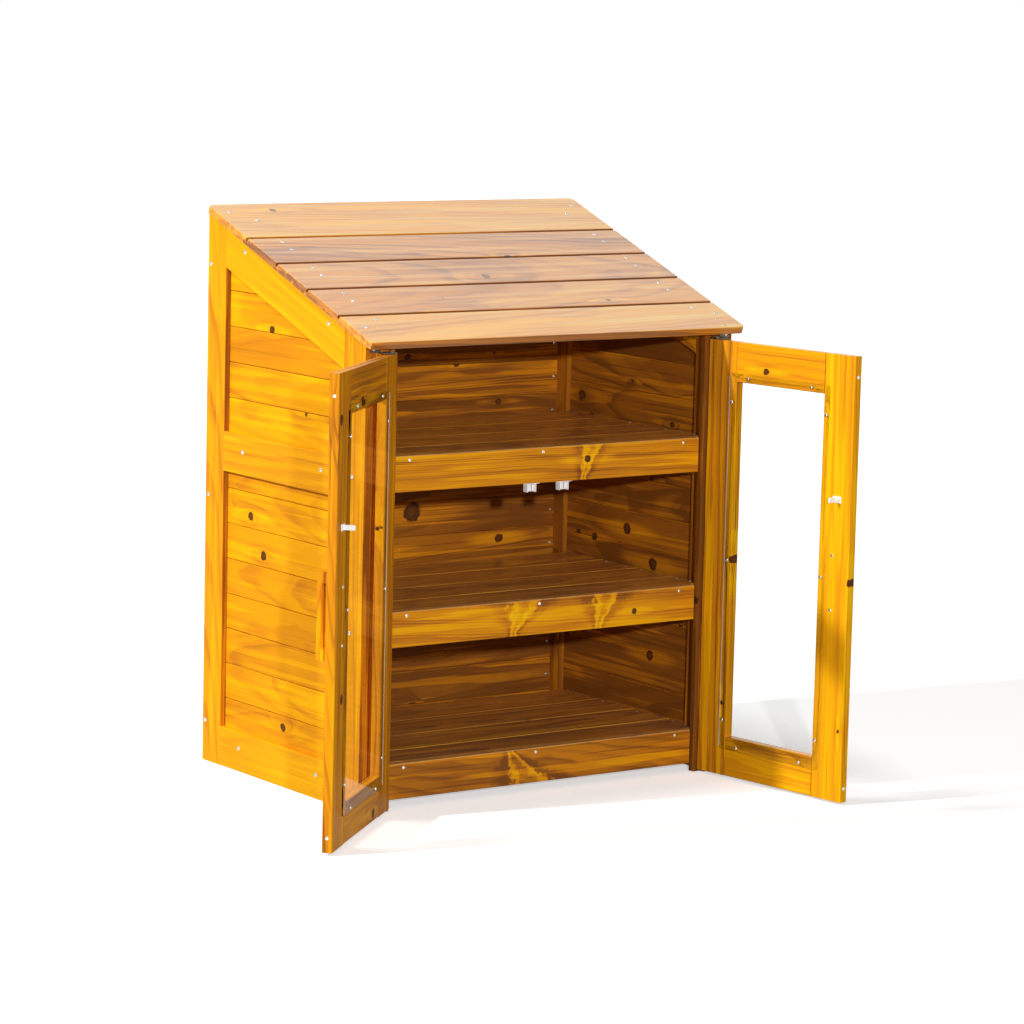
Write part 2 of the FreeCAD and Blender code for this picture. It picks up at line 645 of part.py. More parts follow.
BATTEN_SCREW_X = "(width / 2 - roof_screw_inset)"
ROOF_BOARDS = 5
roof_screw_places = []
for number in range(ROOF_BOARDS):
    first = number == 0
    last = number == ROOF_BOARDS - 1
    lower_end = ROOF_FRONT if first else f"({joint(number)} + roof_groove / 2)"
    lip_start = ROOF_FRONT if first else f"({joint(number)} + roof_groove / 2 + roof_lip + roof_lip_play)"
    upper_end = ROOF_REAR if last else f"({joint(number + 1)} - roof_groove / 2)"
    lip_end = ROOF_REAR if last else f"({joint(number + 1)} + roof_groove / 2 + roof_lip)"
    # The lower half of each board passes under the next one up the slope
    corners = [(lip_start, "0"), (lip_end, "0")]
    if not last:
        corners += [(lip_end, HALF), (upper_end, HALF)]
    corners += [(upper_end, "roof_thickness"), (lower_end, "roof_thickness")]
    if not first:
        corners += [(lower_end, f"{HALF} + roof_lip_gap"), (lip_start, f"{HALF} + roof_lip_gap")]
    board = timber(f"roof_board_{number + 1}", ROOF, "YZ_Plane", [corners], ROOF_WIDTH)
    if first or last:
        end = value(ROOF_FRONT if first else ROOF_REAR)
        upright = runs_along(FreeCAD.Vector(0, 0, 1))
        round_edges(board, "roof_corner",
                    lambda edge: upright(edge) and abs(edge.Curve.Location.y - end) < CLOSE, "corners")
    top = value("roof_thickness")
    round_edges(board, "roof_arris",
                lambda edge: all(abs(point.Z - top) < CLOSE for point in edge.Vertexes)
                and abs(edge.CenterOfMass.z - top) < CLOSE)
    # Two screws at each end: both into the battens, or one of them into the side wall
    far = f"({joint(number + 1)} - roof_screw_edge)"
    rows = [(BATTEN_SCREW_X, far), (BATTEN_SCREW_X, f"({far} - roof_screw_spread)")]
    if first:
        rows = [(BATTEN_SCREW_X, far), (OUTER_SCREW_X, "roof_outer_front")]
    if last:
        rows = [(BATTEN_SCREW_X, f"({joint(number)} + {ROOF_REAR}) / 2"), (OUTER_SCREW_X, "roof_outer_rear")]
    places = [(f"{sign} * {x}", y) for sign in SIDES.values() for x, y in rows]
    drill(board, "screw_holes", "XY_Plane", HALF, places, "screw_diameter", "roof_thickness")
    roof_screw_places += places

roof_screws = new_body("roof_screws", ROOF)
add_screws(roof_screws, "roof", "XY_Plane", "roof_thickness", 1, roof_screw_places, "screw_diameter",
           "screw_head", HALF_SUNK, "roof_thickness + roof_batten_depth / 2")
parts["roof_screws"] = roof_screws

roof_battens = []
for side, sign in SIDES.items():
    batten = new_body(f"{side} roof batten", ROOF)
    start = f"(front_board_thickness + roof_batten_end) / {SLANT}"
    end = f"({BACK_FACE} - roof_batten_end) / {SLANT}"
    pad_outlines(batten, "outline", "YZ_Plane", [rectangle((start, "-roof_batten_depth"), (end, "0"))],
                 "roof_batten_width", f"({sign} * (width / 2 - frame_thickness - roof_batten_width / 2))")
    round_edges(batten, "small_arris", runs_along(FreeCAD.Vector(0, 1, 0)))
    inner = [place for place in roof_screw_places
             if value(place[0]) * sign > 0 and abs(abs(value(place[0])) - value(BATTEN_SCREW_X)) < CLOSE]
    drill(batten, "roof_screw_holes", "XY_Plane", "0", inner, "screw_diameter",
          "roof_batten_depth / 2 + screw_end_play")
    wall_holes = shafts(f"{side} roof batten wall holes", CABINET, "YZ_Plane",
                        f"{sign} * (width / 2 - frame_thickness)", RAIL_SCREWS["top_rail"], "screw_diameter",
                        "screw_bite + screw_end_play")
    drilled = doc.addObject("Part::Cut", f"{side} roof batten drilled")
    drilled.Base = batten
    drilled.Tool = wall_holes
    roof_battens.append(drilled)
group("roof_battens", roof_battens)

# Shelves
APRON_END = "(width / 2 - front_board_width - apron_end_gap)"
APRON_BACK = "(apron_setback + apron_thickness)"
APRON_MIDDLE = "(apron_setback + apron_thickness / 2)"
SHELF_END = "(width / 2 - frame_thickness - shelf_side_gap)"
BEARER_X = "(width / 2 - frame_thickness - bearer_width / 2)"
FULL_SHELF_BOARDS = 3
SHELF_STARTS = [APRON_BACK] + [f"({APRON_BACK} + first_shelf_board + shelf_gap + {count} * shelf_pitch)"
                               for count in range(FULL_SHELF_BOARDS)]
SHELF_ENDS = [f"({APRON_BACK} + first_shelf_board)"] + [f"({start} + shelf_pitch - shelf_gap)"
                                                        for start in SHELF_STARTS[1:]]
SHELF_SCREWS = [(f"{sign} * {BEARER_X}", y) for sign in SIDES.values()
                for start, end in zip(SHELF_STARTS, SHELF_ENDS)
                for y in (f"({start} + shelf_screw_edge)", f"({end} - shelf_screw_edge)")]

shelf_screw_sets = []
for name, screw_rows in (("lower", "bottom_rail"), ("middle", "middle_shelf"), ("upper", "middle_rail")):
    top = f"{name}_shelf"
    underside = f"({top} - shelf_thickness)"
    apron = timber(f"{name}_shelf_apron", CABINET, "XZ_Plane",
                   [rectangle((f"-{APRON_END}", f"{top} - apron_height"), (APRON_END, top))],
                   "apron_thickness", APRON_MIDDLE)
    round_edges(apron, "arris", runs_along(FreeCAD.Vector(1, 0, 0)))
    apron_screws = [(x, f"{top} - shelf_thickness / 2")
                    for x in (f"-({APRON_END} - apron_screw_end)", "-apron_screw_offset",
                              f"({APRON_END} - apron_screw_end)")]
    drill(apron, "screw_holes", "XZ_Plane", APRON_MIDDLE, apron_screws, "small_screw_diameter",
          "apron_thickness")
    board_ends = [rectangle((start, underside), (end, top)) for start, end in zip(SHELF_STARTS, SHELF_ENDS)]
    boards = timber(f"{name}_shelf_boards", CABINET, "YZ_Plane", board_ends, f"2 * {SHELF_END}")
    round_edges(boards, "small_arris", runs_along(FreeCAD.Vector(1, 0, 0)))
    drill(boards, "screw_holes", "XY_Plane", f"{top} - shelf_thickness / 2", SHELF_SCREWS,
          "small_screw_diameter", "shelf_thickness")
    drill(boards, "apron_screw_holes", "XZ_Plane", APRON_BACK, apron_screws, "small_screw_diameter",
          "small_screw_bite + screw_end_play")
    # Bearers lie along the side walls under the ends of the shelf boards
    bearers = timber(f"{name}_shelf_bearers", CABINET, "XZ_Plane",
                     [rectangle((f"({sign} * {BEARER_X} - bearer_width / 2)", f"{underside} - bearer_height"),
                                (f"({sign} * {BEARER_X} + bearer_width / 2)", underside))
                      for sign in SIDES.values()],
                     f"{SHELF_ENDS[-1]} - {APRON_BACK}", f"({SHELF_ENDS[-1]} + {APRON_BACK}) / 2")
    round_edges(bearers, "small_arris", runs_along(FreeCAD.Vector(0, 1, 0)))
    drill(bearers, "shelf_screw_holes", "XY_Plane", underside, SHELF_SCREWS, "small_screw_diameter",
          "small_screw_bite + screw_end_play")
    row = WALL_HEIGHTS[screw_rows]
    wall_screws = {
        "lower": [(REAR_Y, row), (FRONT_Y, row)],
        "middle": [("front_stile_screw", row)],
        "upper": [(REAR_Y, row), (FRONT_Y, row), ("front_stile_screw", row)],
    }[name]
    for side, sign in SIDES.items():
        drill(bearers, f"{side}_wall_screw_holes", "YZ_Plane", f"{sign} * (width / 2 - frame_thickness)",
              wall_screws, "screw_diameter", "screw_bite + screw_end_play")
    screws = new_body(f"{name} shelf screw set", CABINET)
    add_screws(screws, "boards", "XY_Plane", top, 1, SHELF_SCREWS, "small_screw_diameter", "small_screw_head",
               SMALL_HALF_SUNK, "shelf_thickness + small_screw_bite")
    add_screws(screws, "apron", "XZ_Plane", "apron_setback", -1, apron_screws, "small_screw_diameter",
               "small_screw_head", "small_screw_head_height", "apron_thickness + small_screw_bite")
    shelf_screw_sets.append(screws)
group("shelf_screws", shelf_screw_sets)

# Screws of the side walls and the back wall
wall_screw_sets = []
for side, sign in SIDES.items():
    screws = new_body(f"{side} wall screw set", CABINET)
    add_screws(screws, "wall", "YZ_Plane", f"({sign} * width / 2)", sign,
               [centre for row in RAIL_SCREWS.values() for centre in row], "screw_diameter", "screw_head",
               "screw_head_height", "frame_thickness + screw_bite")
    wall_screw_sets.append(screws)
back_screws = new_body("back wall screw set", CABINET)
add_screws(back_screws, "back", "XZ_Plane", BACK_FACE, -1, BACK_SCREWS + FOOT_SCREWS,
           "small_screw_diameter", "small_screw_head", "small_screw_head_height",
           "board_thickness + small_screw_bite")
wall_screw_sets.append(back_screws)
group("wall_screws", wall_screw_sets)

# Catches under the upper apron
APRON_UNDERSIDE = "(upper_shelf - apron_height)"
CATCH_FRONT = "(apron_setback + catch_setback)"
CATCH_X = f"({PIVOT_X} - {FREE_EDGE} + strike_inset)"
CATCH_TOP = f"({APRON_UNDERSIDE} - catch_plate)"
CATCH_MIDDLE = f"({CATCH_TOP} - catch_height / 2)"
PLATE_MIDDLE = f"({CATCH_TOP} + catch_plate / 2)"
EAR_X = "(catch_width / 2 + catch_ear / 2)"
EAR_Y = f"({CATCH_FRONT} + catch_depth / 2)"
ROLLER_X = "(roller_gap / 2 + roller_diameter / 2)"
ROLLER_Y = f"({CATCH_FRONT} + roller_setback)"


def ear_screws(sign):
    return [(f"{sign} * {CATCH_X} + {ear} * {EAR_X}", EAR_Y) for ear in (-1, 1)]


def catch(side, sign):
    """Moulded housing with its mounting plate, open in front for the rollers."""
    body = new_body(f"{side} catch housing", CABINET)
    left = f"({sign} * {CATCH_X} - catch_width / 2)"
    right = f"({sign} * {CATCH_X} + catch_width / 2)"
    back = f"({CATCH_FRONT} + catch_depth)"
    mouth = f"({CATCH_FRONT} + catch_mouth)"
    corners = [(left, CATCH_FRONT), (f"{left} + catch_wall", CATCH_FRONT), (f"{left} + catch_wall", mouth),
               (f"{right} - catch_wall", mouth), (f"{right} - catch_wall", CATCH_FRONT), (right, CATCH_FRONT),
               (right, back), (left, back)]
    pad_outlines(body, "housing", "XY_Plane", [corners], "catch_height", CATCH_MIDDLE)
    plate = rectangle((f"{left} - catch_ear", CATCH_FRONT), (f"{right} + catch_ear", back))
    pad_outlines(body, "plate", "XY_Plane", [plate], "catch_plate", PLATE_MIDDLE)
    drill(body, "screw_holes", "XY_Plane", PLATE_MIDDLE, ear_screws(sign), "small_screw_diameter",
          "catch_plate")
    return body


def roller(side, sign):
    """Two rollers on spindles that hang from the mounting plate."""
    body = new_body(f"{side} catch rollers", CABINET)
    centres = [(f"{sign} * {CATCH_X} + {hand} * {ROLLER_X}", ROLLER_Y) for hand in (-1, 1)]
    for name, diameter, length, level in (
            ("rollers", "roller_diameter", "roller_height", CATCH_MIDDLE),
            ("spindles", "spindle_diameter", f"{CATCH_TOP} - {CATCH_MIDDLE}",
             f"({CATCH_TOP} + {CATCH_MIDDLE}) / 2")):
        sketch = new_sketch(body, name, "XY_Plane", level)
        draw_circles(sketch, centres, diameter)
        pad = body.newObject("PartDesign::Pad", f"{side}_{name}_pad")
        pad.Profile = sketch
        pad.Midplane = True
        bind(pad, Length=length)
    return body


group("catch_housings", [catch(side, sign) for side, sign in SIDES.items()])
group("catch_rollers", [roller(side, sign) for side, sign in SIDES.items()])
drill(parts["upper_shelf_apron"], "catch_screw_holes", "XY_Plane", APRON_UNDERSIDE,
      [centre for sign in SIDES.values() for centre in ear_screws(sign)], "small_screw_diameter",
      "small_screw_bite + screw_end_play")

# Pivot brackets: an upright leaf on the front board and an arm over or under the door
ARM = {
    "upper": ("(door_top + bracket_play)", "(door_top + bracket_play + bracket_thickness)"),
    "lower": ("(door_bottom - bracket_play - bracket_thickness)", "(door_bottom - bracket_play)"),
}
LEAF_OUTER = "(width / 2 - bracket_inset)"
LEAF_INNER = f"({LEAF_OUTER} - bracket_length)"
ARM_REACH = f"({PIVOT_Y} - bracket_end)"


def bracket_screw(sign, level):
    return (f"{sign} * ({LEAF_OUTER} - bracket_screw)",
            f"{ARM[level][0]} + (bracket_thickness + bracket_height) / 2")


def bracket(side, sign, level):
    body = new_body(f"{side} {level} pivot bracket", CABINET)
    foot, head = ARM[level]
    leaf = rectangle((f"{sign} * {LEAF_OUTER}", foot), (f"{sign} * {LEAF_INNER}", f"{foot} + bracket_height"))
    pad_outlines(body, "leaf", "XZ_Plane", [leaf], "bracket_thickness", "-bracket_thickness / 2")
    arm = rectangle((f"{sign} * ({LEAF_INNER} + bracket_lap)", "0"),
                    (f"{sign} * ({PIVOT_X} - bracket_end)", ARM_REACH))
    pad_outlines(body, "arm", "XY_Plane", [arm], "bracket_thickness", f"({foot} + {head}) / 2")
    drill(body, "pivot_hole", "XY_Plane", f"({foot} + {head}) / 2", [(f"{sign} * {PIVOT_X}", PIVOT_Y)],
          "pivot_diameter + 2 * pivot_play", "bracket_thickness")
    drill(body, "screw_hole", "XZ_Plane", "-bracket_thickness / 2", [bracket_screw(sign, level)],
          "small_screw_diameter", "bracket_thickness")
    return body


group("pivot_brackets", [bracket(side, sign, level) for side, sign in SIDES.items() for level in ARM])
for side, sign in SIDES.items():
    drill(parts[f"{side}_front_board"], "bracket_screw_holes", "XZ_Plane", "0",
          [bracket_screw(sign, level) for level in ARM], "small_screw_diameter",
          "small_screw_bite + screw_end_play")

hardware_screws = new_body("hardware_screws", CABINET)
add_screws(hardware_screws, "brackets", "XZ_Plane", "-bracket_thickness", -1,
           [bracket_screw(sign, level) for sign in SIDES.values() for level in ARM], "small_screw_diameter",
           "small_screw_head", "small_screw_head_height", "bracket_thickness + small_screw_bite")
add_screws(hardware_screws, "catches", "XY_Plane", CATCH_TOP, -1,
           [centre for sign in SIDES.values() for centre in ear_screws(sign)], "small_screw_diameter",
           "tiny_screw_head", "small_screw_head_height", "catch_plate + small_screw_bite")
parts["hardware_screws"] = hardware_screws

# Doors. Across a door, x runs from the pivot axis towards the free edge
INNER_FACE = "pivot_depth"
OUTER_FACE = "(pivot_depth - door_thickness)"
DOOR_MIDDLE = "(pivot_depth - door_thickness / 2)"
HINGE_EDGE = "(-pivot_inset)"
HINGE_STILE_EDGE = "(rail_width - pivot_inset)"
FREE_STILE_EDGE = f"({FREE_EDGE} - rail_width)"
DOOR_CENTRE = f"(({HINGE_EDGE} + {FREE_EDGE}) / 2)"
PANE_FACE = f"({INNER_FACE} + pane_thickness)"
HANDLE_X = f"({FREE_EDGE} - handle_inset)"
STRIKE_X = f"({FREE_EDGE} - strike_inset)"
STRIKE_MIDDLE = "(strike_foot + strike_height / 2)"
PLATE_FACE = f"({INNER_FACE} + strike_thickness)"
FREE_SCREWS = [(DOOR_MIDDLE, "door_top - frame_screw_high"), (DOOR_MIDDLE, "door_bottom + frame_screw_low")]
HINGE_SCREWS = [(DOOR_MIDDLE, "door_top - rail_width / 2"), (DOOR_MIDDLE, "door_bottom + rail_width / 2")]
PANE_LOW = "(door_bottom + rail_width - pane_drop)"
PANE_HIGH = "(door_top - rail_width + pane_overlap)"
PANE_HINGE = f"({HINGE_STILE_EDGE} - pane_overlap)"
PANE_FREE = f"({FREE_STILE_EDGE} + pane_overlap)"


def door_members(side, frame, hand):
    """Two stiles and two rails; hand mirrors the right door."""
    def member(name, low, high, direction):
        outline = rectangle((f"{hand} * {low[0]}", low[1]), (f"{hand} * {high[0]}", high[1]))
        body = timber(f"{side}_door_{name}", frame, "XZ_Plane", [outline], "door_thickness", DOOR_MIDDLE)
        run = runs_along(direction)
        round_edges(body, "door_arris" if name.endswith("stile") else "arris", run)
        return body
    upright = FreeCAD.Vector(0, 0, 1)
    level = FreeCAD.Vector(1, 0, 0)
    hinge_stile = member("hinge_stile", (HINGE_EDGE, "door_bottom"), (HINGE_STILE_EDGE, "door_top"), upright)
    free_stile = member("free_stile", (FREE_STILE_EDGE, "door_bottom"), (FREE_EDGE, "door_top"), upright)
    top_rail = member("top_rail", (HINGE_STILE_EDGE, "door_top - rail_width"),
                      (FREE_STILE_EDGE, "door_top"), level)
    bottom_rail = member("bottom_rail", (HINGE_STILE_EDGE, "door_bottom"),
                         (FREE_STILE_EDGE, "door_bottom + rail_width"), level)
    for end in ("door_top", "door_bottom"):
        drill(hinge_stile, f"{end}_pivot_hole", "XY_Plane", end, [("0", "0")], "pivot_diameter",
              "pivot_bite + screw_end_play")
    return hinge_stile, free_stile, top_rail, bottom_rail


def pane_screw_places(hand):
    """Screws around a pane, sorted by the member that they bite."""
    side_rows = ("door_bottom + pane_screw_rise", "(door_bottom + door_top) / 2",
                 "door_top - pane_screw_drop")
    hinge_x = f"{hand} * ({PANE_HINGE} + pane_screw_edge)"
    free_x = f"{hand} * ({PANE_FREE} - pane_screw_edge)"
    columns = [f"{hand} * ({DOOR_CENTRE} + {step} * pane_screw_spread)" for step in (-0.5, 0.5)]
    return ([(hinge_x, row) for row in side_rows], [(free_x, row) for row in side_rows],
            [(x, f"{PANE_HIGH} - pane_screw_edge") for x in columns],
            [(x, f"{PANE_LOW} + pane_screw_edge") for x in columns])


def pane(side, frame, hand, places):
    outline = rectangle((f"{hand} * {PANE_HINGE}", PANE_LOW), (f"{hand} * {PANE_FREE}", PANE_HIGH))
    body = timber(f"{side}_door_pane", frame, "XZ_Plane", [outline], "pane_thickness",
                  f"{INNER_FACE} + pane_thickness / 2")
    round_edges(body, "pane_corner", runs_along(FreeCAD.Vector(0, 1, 0)), "corners")
    drill(body, "screw_holes", "XZ_Plane", f"{INNER_FACE} + pane_thickness / 2", places,
          "small_screw_diameter", "pane_thickness")


def handle(side, frame, hand):
    """Grip bar with a finger groove in each flank."""
    low = "(handle_height - handle_length / 2)"
    high = "(handle_height + handle_length / 2)"
    reach = f"({OUTER_FACE} - handle_reach)"
    outline = rectangle((f"{hand} * ({HANDLE_X} - handle_width / 2)", low),
                        (f"{hand} * ({HANDLE_X} + handle_width / 2)", high))
    body = timber(f"{side}_door_handle", frame, "XZ_Plane", [outline], "handle_reach",
                  f"({OUTER_FACE} + {reach}) / 2")
    outer = value(reach)
    round_edges(body, "handle_arris", lambda edge: abs(edge.CenterOfMass.y - outer) < CLOSE)
    groove_near = f"({OUTER_FACE} - finger_groove_foot)"
    groove_far = f"({OUTER_FACE} - finger_groove_foot - finger_groove_width)"
    flanks = []
    for flank in (-1, 1):
        bottom = f"{hand} * ({HANDLE_X} + {flank} * (handle_width / 2 - finger_groove))"
        outside = f"{hand} * ({HANDLE_X} + {flank} * handle_width)"
        flanks.append([(bottom, f"{groove_near} - finger_groove / 2"),
                       (outside, f"{groove_near} + handle_width"),
                       (outside, f"{groove_far} - handle_width"),
                       (bottom, f"{groove_far} + finger_groove / 2")])
    sketch = new_sketch(body, "finger_grooves", "XY_Plane", "handle_height")
    for corners in flanks:
        draw_outline(sketch, corners)
    pocket = body.newObject("PartDesign::Pocket", f"{side}_finger_groove_pocket")
    pocket.Profile = sketch
    pocket.Midplane = True
    bind(pocket, Length="handle_length - 2 * finger_groove_end")
    places = [(f"{hand} * {HANDLE_X}", f"handle_height + {step} * handle_screws") for step in (-0.5, 0.5)]
    drill(body, "screw_holes", "XZ_Plane", OUTER_FACE, places, "screw_diameter",
          "small_screw_bite + screw_end_play")
    return places


def strike(side, frame, hand):
    """Plate on the free stile with a tongue that goes between the catch rollers."""
    body = new_body(f"{side}_door_strike", frame)
    plate = rectangle((f"{hand} * ({STRIKE_X} - strike_width / 2)", "strike_foot"),
                      (f"{hand} * ({STRIKE_X} + strike_width / 2)", "strike_foot + strike_height"))
    plate_middle = f"{INNER_FACE} + strike_thickness / 2"
    pad_outlines(body, "plate", "XZ_Plane", [plate], "strike_thickness", plate_middle)
    tip = f"({PLATE_FACE} + tongue_bar_reach)"
    right_half = [("tongue_bar_width / 2", PLATE_FACE), ("tongue_bar_width / 2", f"{tip} - tongue_taper"),
                  ("tongue_tip_width / 2", tip)]
    tongue = [(f"{hand} * ({STRIKE_X} + {out})", reach) for out, reach in right_half]
    tongue += [(f"{hand} * ({STRIKE_X} - {out})", reach) for out, reach in reversed(right_half)]
    pad_outlines(body, "tongue", "XY_Plane", [tongue], "tongue_bar_height", STRIKE_MIDDLE)
    places = [(f"{hand} * ({STRIKE_X} + {step} * strike_screws)", STRIKE_MIDDLE) for step in (-0.5, 0.5)]
    drill(body, "screw_holes", "XZ_Plane", plate_middle, places, "small_screw_diameter", "strike_thickness")
    parts[f"{side}_door_strike"] = body
    return places


def pivot_screws(side, frame):
    """Screws through the bracket arms into the ends of the hinge stile."""
    body = new_body(f"{side}_door_pivot_screws", frame)
    for name, end, step in (("upper", "door_top", 1), ("lower", "door_bottom", -1)):
        arm_face = f"({end} + {step} * (bracket_play + bracket_thickness + pivot_head_play))"
        add_screws(body, name, "XY_Plane", arm_face, step, [("0", "0")], "pivot_diameter",
                   "pivot_head_diameter", "pivot_head_height",
                   "pivot_head_play + bracket_thickness + bracket_play + pivot_bite")
    parts[f"{side}_door_pivot_screws"] = body


for side, frame in DOORS.items():
    hand = -SIDES[side]
    hinge_stile, free_stile, top_rail, bottom_rail = door_members(side, frame, hand)
    groups = pane_screw_places(hand)
    for body, places in zip((hinge_stile, free_stile, top_rail, bottom_rail), groups):
        drill(body, "pane_screw_holes", "XZ_Plane", INNER_FACE, places, "small_screw_diameter",
              "small_screw_bite + screw_end_play")
    all_places = [centre for places in groups for centre in places]
    pane(side, frame, hand, all_places)
    screws = new_body(f"{side}_door_pane_screws", frame)
    add_screws(screws, "pane", "XZ_Plane", PANE_FACE, 1, all_places, "small_screw_diameter",
               "small_screw_head", "small_screw_head_height", "pane_thickness + small_screw_bite")
    parts[f"{side}_door_pane_screws"] = screws
    handle_places = handle(side, frame, hand)
    strike_places = strike(side, frame, hand)
    drill(free_stile, "handle_screw_holes", "XZ_Plane", DOOR_MIDDLE, handle_places, "screw_diameter",
          "door_thickness")
    drill(free_stile, "strike_screw_holes", "XZ_Plane", INNER_FACE, strike_places, "small_screw_diameter",
          "small_screw_bite + screw_end_play")
    # Long screws from the upright edges through the stiles into the rails
    fixings = new_body(f"{side}_door_fixing_screws", frame)
    for name, stile, outer, inner, facing, places in (
            ("free", free_stile, FREE_EDGE, FREE_STILE_EDGE, hand, FREE_SCREWS),
            ("hinge", hinge_stile, HINGE_EDGE, HINGE_STILE_EDGE, -hand, HINGE_SCREWS)):
        drill(stile, f"{name}_screw_holes", "YZ_Plane", f"{hand} * ({outer} + {inner}) / 2", places,
              "screw_diameter", "rail_width")
        for rail, place_in_rail in zip((top_rail, bottom_rail), places):
            drill(rail, f"{name}_screw_hole", "YZ_Plane", f"{hand} * {inner}", [place_in_rail],
                  "screw_diameter", "long_screw_bite + screw_end_play")
        add_screws(fixings, name, "YZ_Plane", f"{hand} * {outer}", facing, places, "screw_diameter",
                   "small_screw_head", SMALL_HALF_SUNK, "rail_width + long_screw_bite")
    add_screws(fixings, "handle", "XZ_Plane", INNER_FACE, 1, handle_places, "screw_diameter",
               "small_screw_head", "small_screw_head_height", "door_thickness + small_screw_bite")
    add_screws(fixings, "strike", "XZ_Plane", PLATE_FACE, 1, strike_places, "small_screw_diameter",
               "tiny_screw_head", SMALL_HALF_SUNK, "strike_thickness + small_screw_bite")
    parts[f"{side}_door_fixing_screws"] = fixings
    pivot_screws(side, frame)

doc.recompute()

# Nothing is written unless every object is sound
for thing in doc.Objects:
    if "Invalid" in thing.State or "Error" in thing.State:
        raise RuntimeError(f"{thing.Label} failed to build")
for label, thing in parts.items():
    if thing.Shape.isNull() or not thing.Shape.isValid() or not thing.Shape.Solids:
        raise RuntimeError(f"{label} has no sound solid")

os.makedirs("parts", exist_ok=True)
for label, thing in parts.items():
    thing.Shape.exportStep(f"parts/{label}.step")
    print(f"{label}: {len(thing.Shape.Solids)} solids, {thing.Shape.Volume / 1000:.1f} cm3")
print(f"{len(parts)} sub-parts")
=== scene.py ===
import json
import math
import random

import bmesh
import bpy
from mathutils import Matrix, Vector


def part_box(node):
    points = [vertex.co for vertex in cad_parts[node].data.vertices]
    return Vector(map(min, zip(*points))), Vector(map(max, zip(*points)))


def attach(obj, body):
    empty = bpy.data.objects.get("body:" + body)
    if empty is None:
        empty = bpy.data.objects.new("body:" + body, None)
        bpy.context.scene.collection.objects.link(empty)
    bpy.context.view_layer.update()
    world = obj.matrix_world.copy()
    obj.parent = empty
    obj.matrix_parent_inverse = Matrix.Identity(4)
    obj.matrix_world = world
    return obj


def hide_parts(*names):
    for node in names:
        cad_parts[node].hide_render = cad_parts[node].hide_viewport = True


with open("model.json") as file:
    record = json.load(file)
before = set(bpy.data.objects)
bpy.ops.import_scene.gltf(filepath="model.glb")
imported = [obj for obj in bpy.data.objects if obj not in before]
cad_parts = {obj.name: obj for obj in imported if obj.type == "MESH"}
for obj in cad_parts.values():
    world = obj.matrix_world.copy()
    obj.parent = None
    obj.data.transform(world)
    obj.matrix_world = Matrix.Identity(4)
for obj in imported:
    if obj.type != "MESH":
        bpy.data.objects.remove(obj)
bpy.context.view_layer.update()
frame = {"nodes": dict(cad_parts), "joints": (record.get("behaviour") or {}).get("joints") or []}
nodes = frame["nodes"]

# Directions in the cabinet
RIGHT = Vector((1, 0, 0))
REAR = Vector((0, 1, 0))
UP = Vector((0, 0, 1))
ROOF_SLOPE = math.radians(20)
UPSLOPE = Vector((0, math.cos(ROOF_SLOPE), math.sin(ROOF_SLOPE)))


# What the frame says about the pieces
def loose_parts(mesh):
    """The points of each separate solid in a mesh."""
    work = bmesh.new()
    work.from_mesh(mesh)
    bmesh.ops.remove_doubles(work, verts=work.verts, dist=1e-6)
    seen = set()
    solids = []
    for start in work.verts:
        if start in seen:
            continue
        seen.add(start)
        solid = []
        queue = [start]
        while queue:
            point = queue.pop()
            solid.append(point.co.copy())
            for edge in point.link_edges:
                other = edge.other_vert(point)
                if other not in seen:
                    seen.add(other)
                    queue.append(other)
        solids.append(solid)
    work.free()
    return solids


def span(points, direction):
    """Lowest and highest place of points along a direction."""
    places = [point.dot(direction) for point in points]
    return min(places), max(places)


def door_directions(side):
    """Directions across an open door, from its hinge, and out of its inner face."""
    joint = next(item for item in frame["joints"] if item["name"] == f"{side}_door_hinge")
    turn = Matrix.Rotation(math.radians(-joint["range_deg"][0]), 3, Vector(joint["axis"]))
    shut = RIGHT if side == "left" else -RIGHT
    return turn @ shut, turn @ REAR


# Meshes from forms
def mesh_from(form, name):
    """A mesh from a form, which is used up."""
    mesh = bpy.data.meshes.new(name)
    form.to_mesh(mesh)
    form.free()
    return mesh


def object_from(form, name):
    """An object in the scene from a form, which is used up."""
    made = bpy.data.objects.new(name, mesh_from(form, name))
    bpy.context.scene.collection.objects.link(made)
    return made


def add_mesh(form, mesh):
    """Put a mesh into a form; the mesh is used up."""
    form.from_mesh(mesh)
    bpy.data.meshes.remove(mesh)


# Shader building: nearly all of a noise lies between these two
NOISE_REACH = (0.3, 0.7)


class Wire:
    """The output of a shader node, which Python expressions can be written with."""

    def __init__(self, finish, socket):
        self.finish = finish
        self.socket = socket

    def __add__(self, other):
        return self.finish.maths("ADD", self, other)

    def __sub__(self, other):
        return self.finish.maths("SUBTRACT", self, other)

    def __rsub__(self, other):
        return self.finish.maths("SUBTRACT", other, self)

    def __mul__(self, other):
        return self.finish.maths("MULTIPLY", self, other)

    def __truediv__(self, other):
        return self.finish.maths("DIVIDE", self, other)

    def __rtruediv__(self, other):
        return self.finish.maths("DIVIDE", other, self)

    __radd__ = __add__
    __rmul__ = __mul__


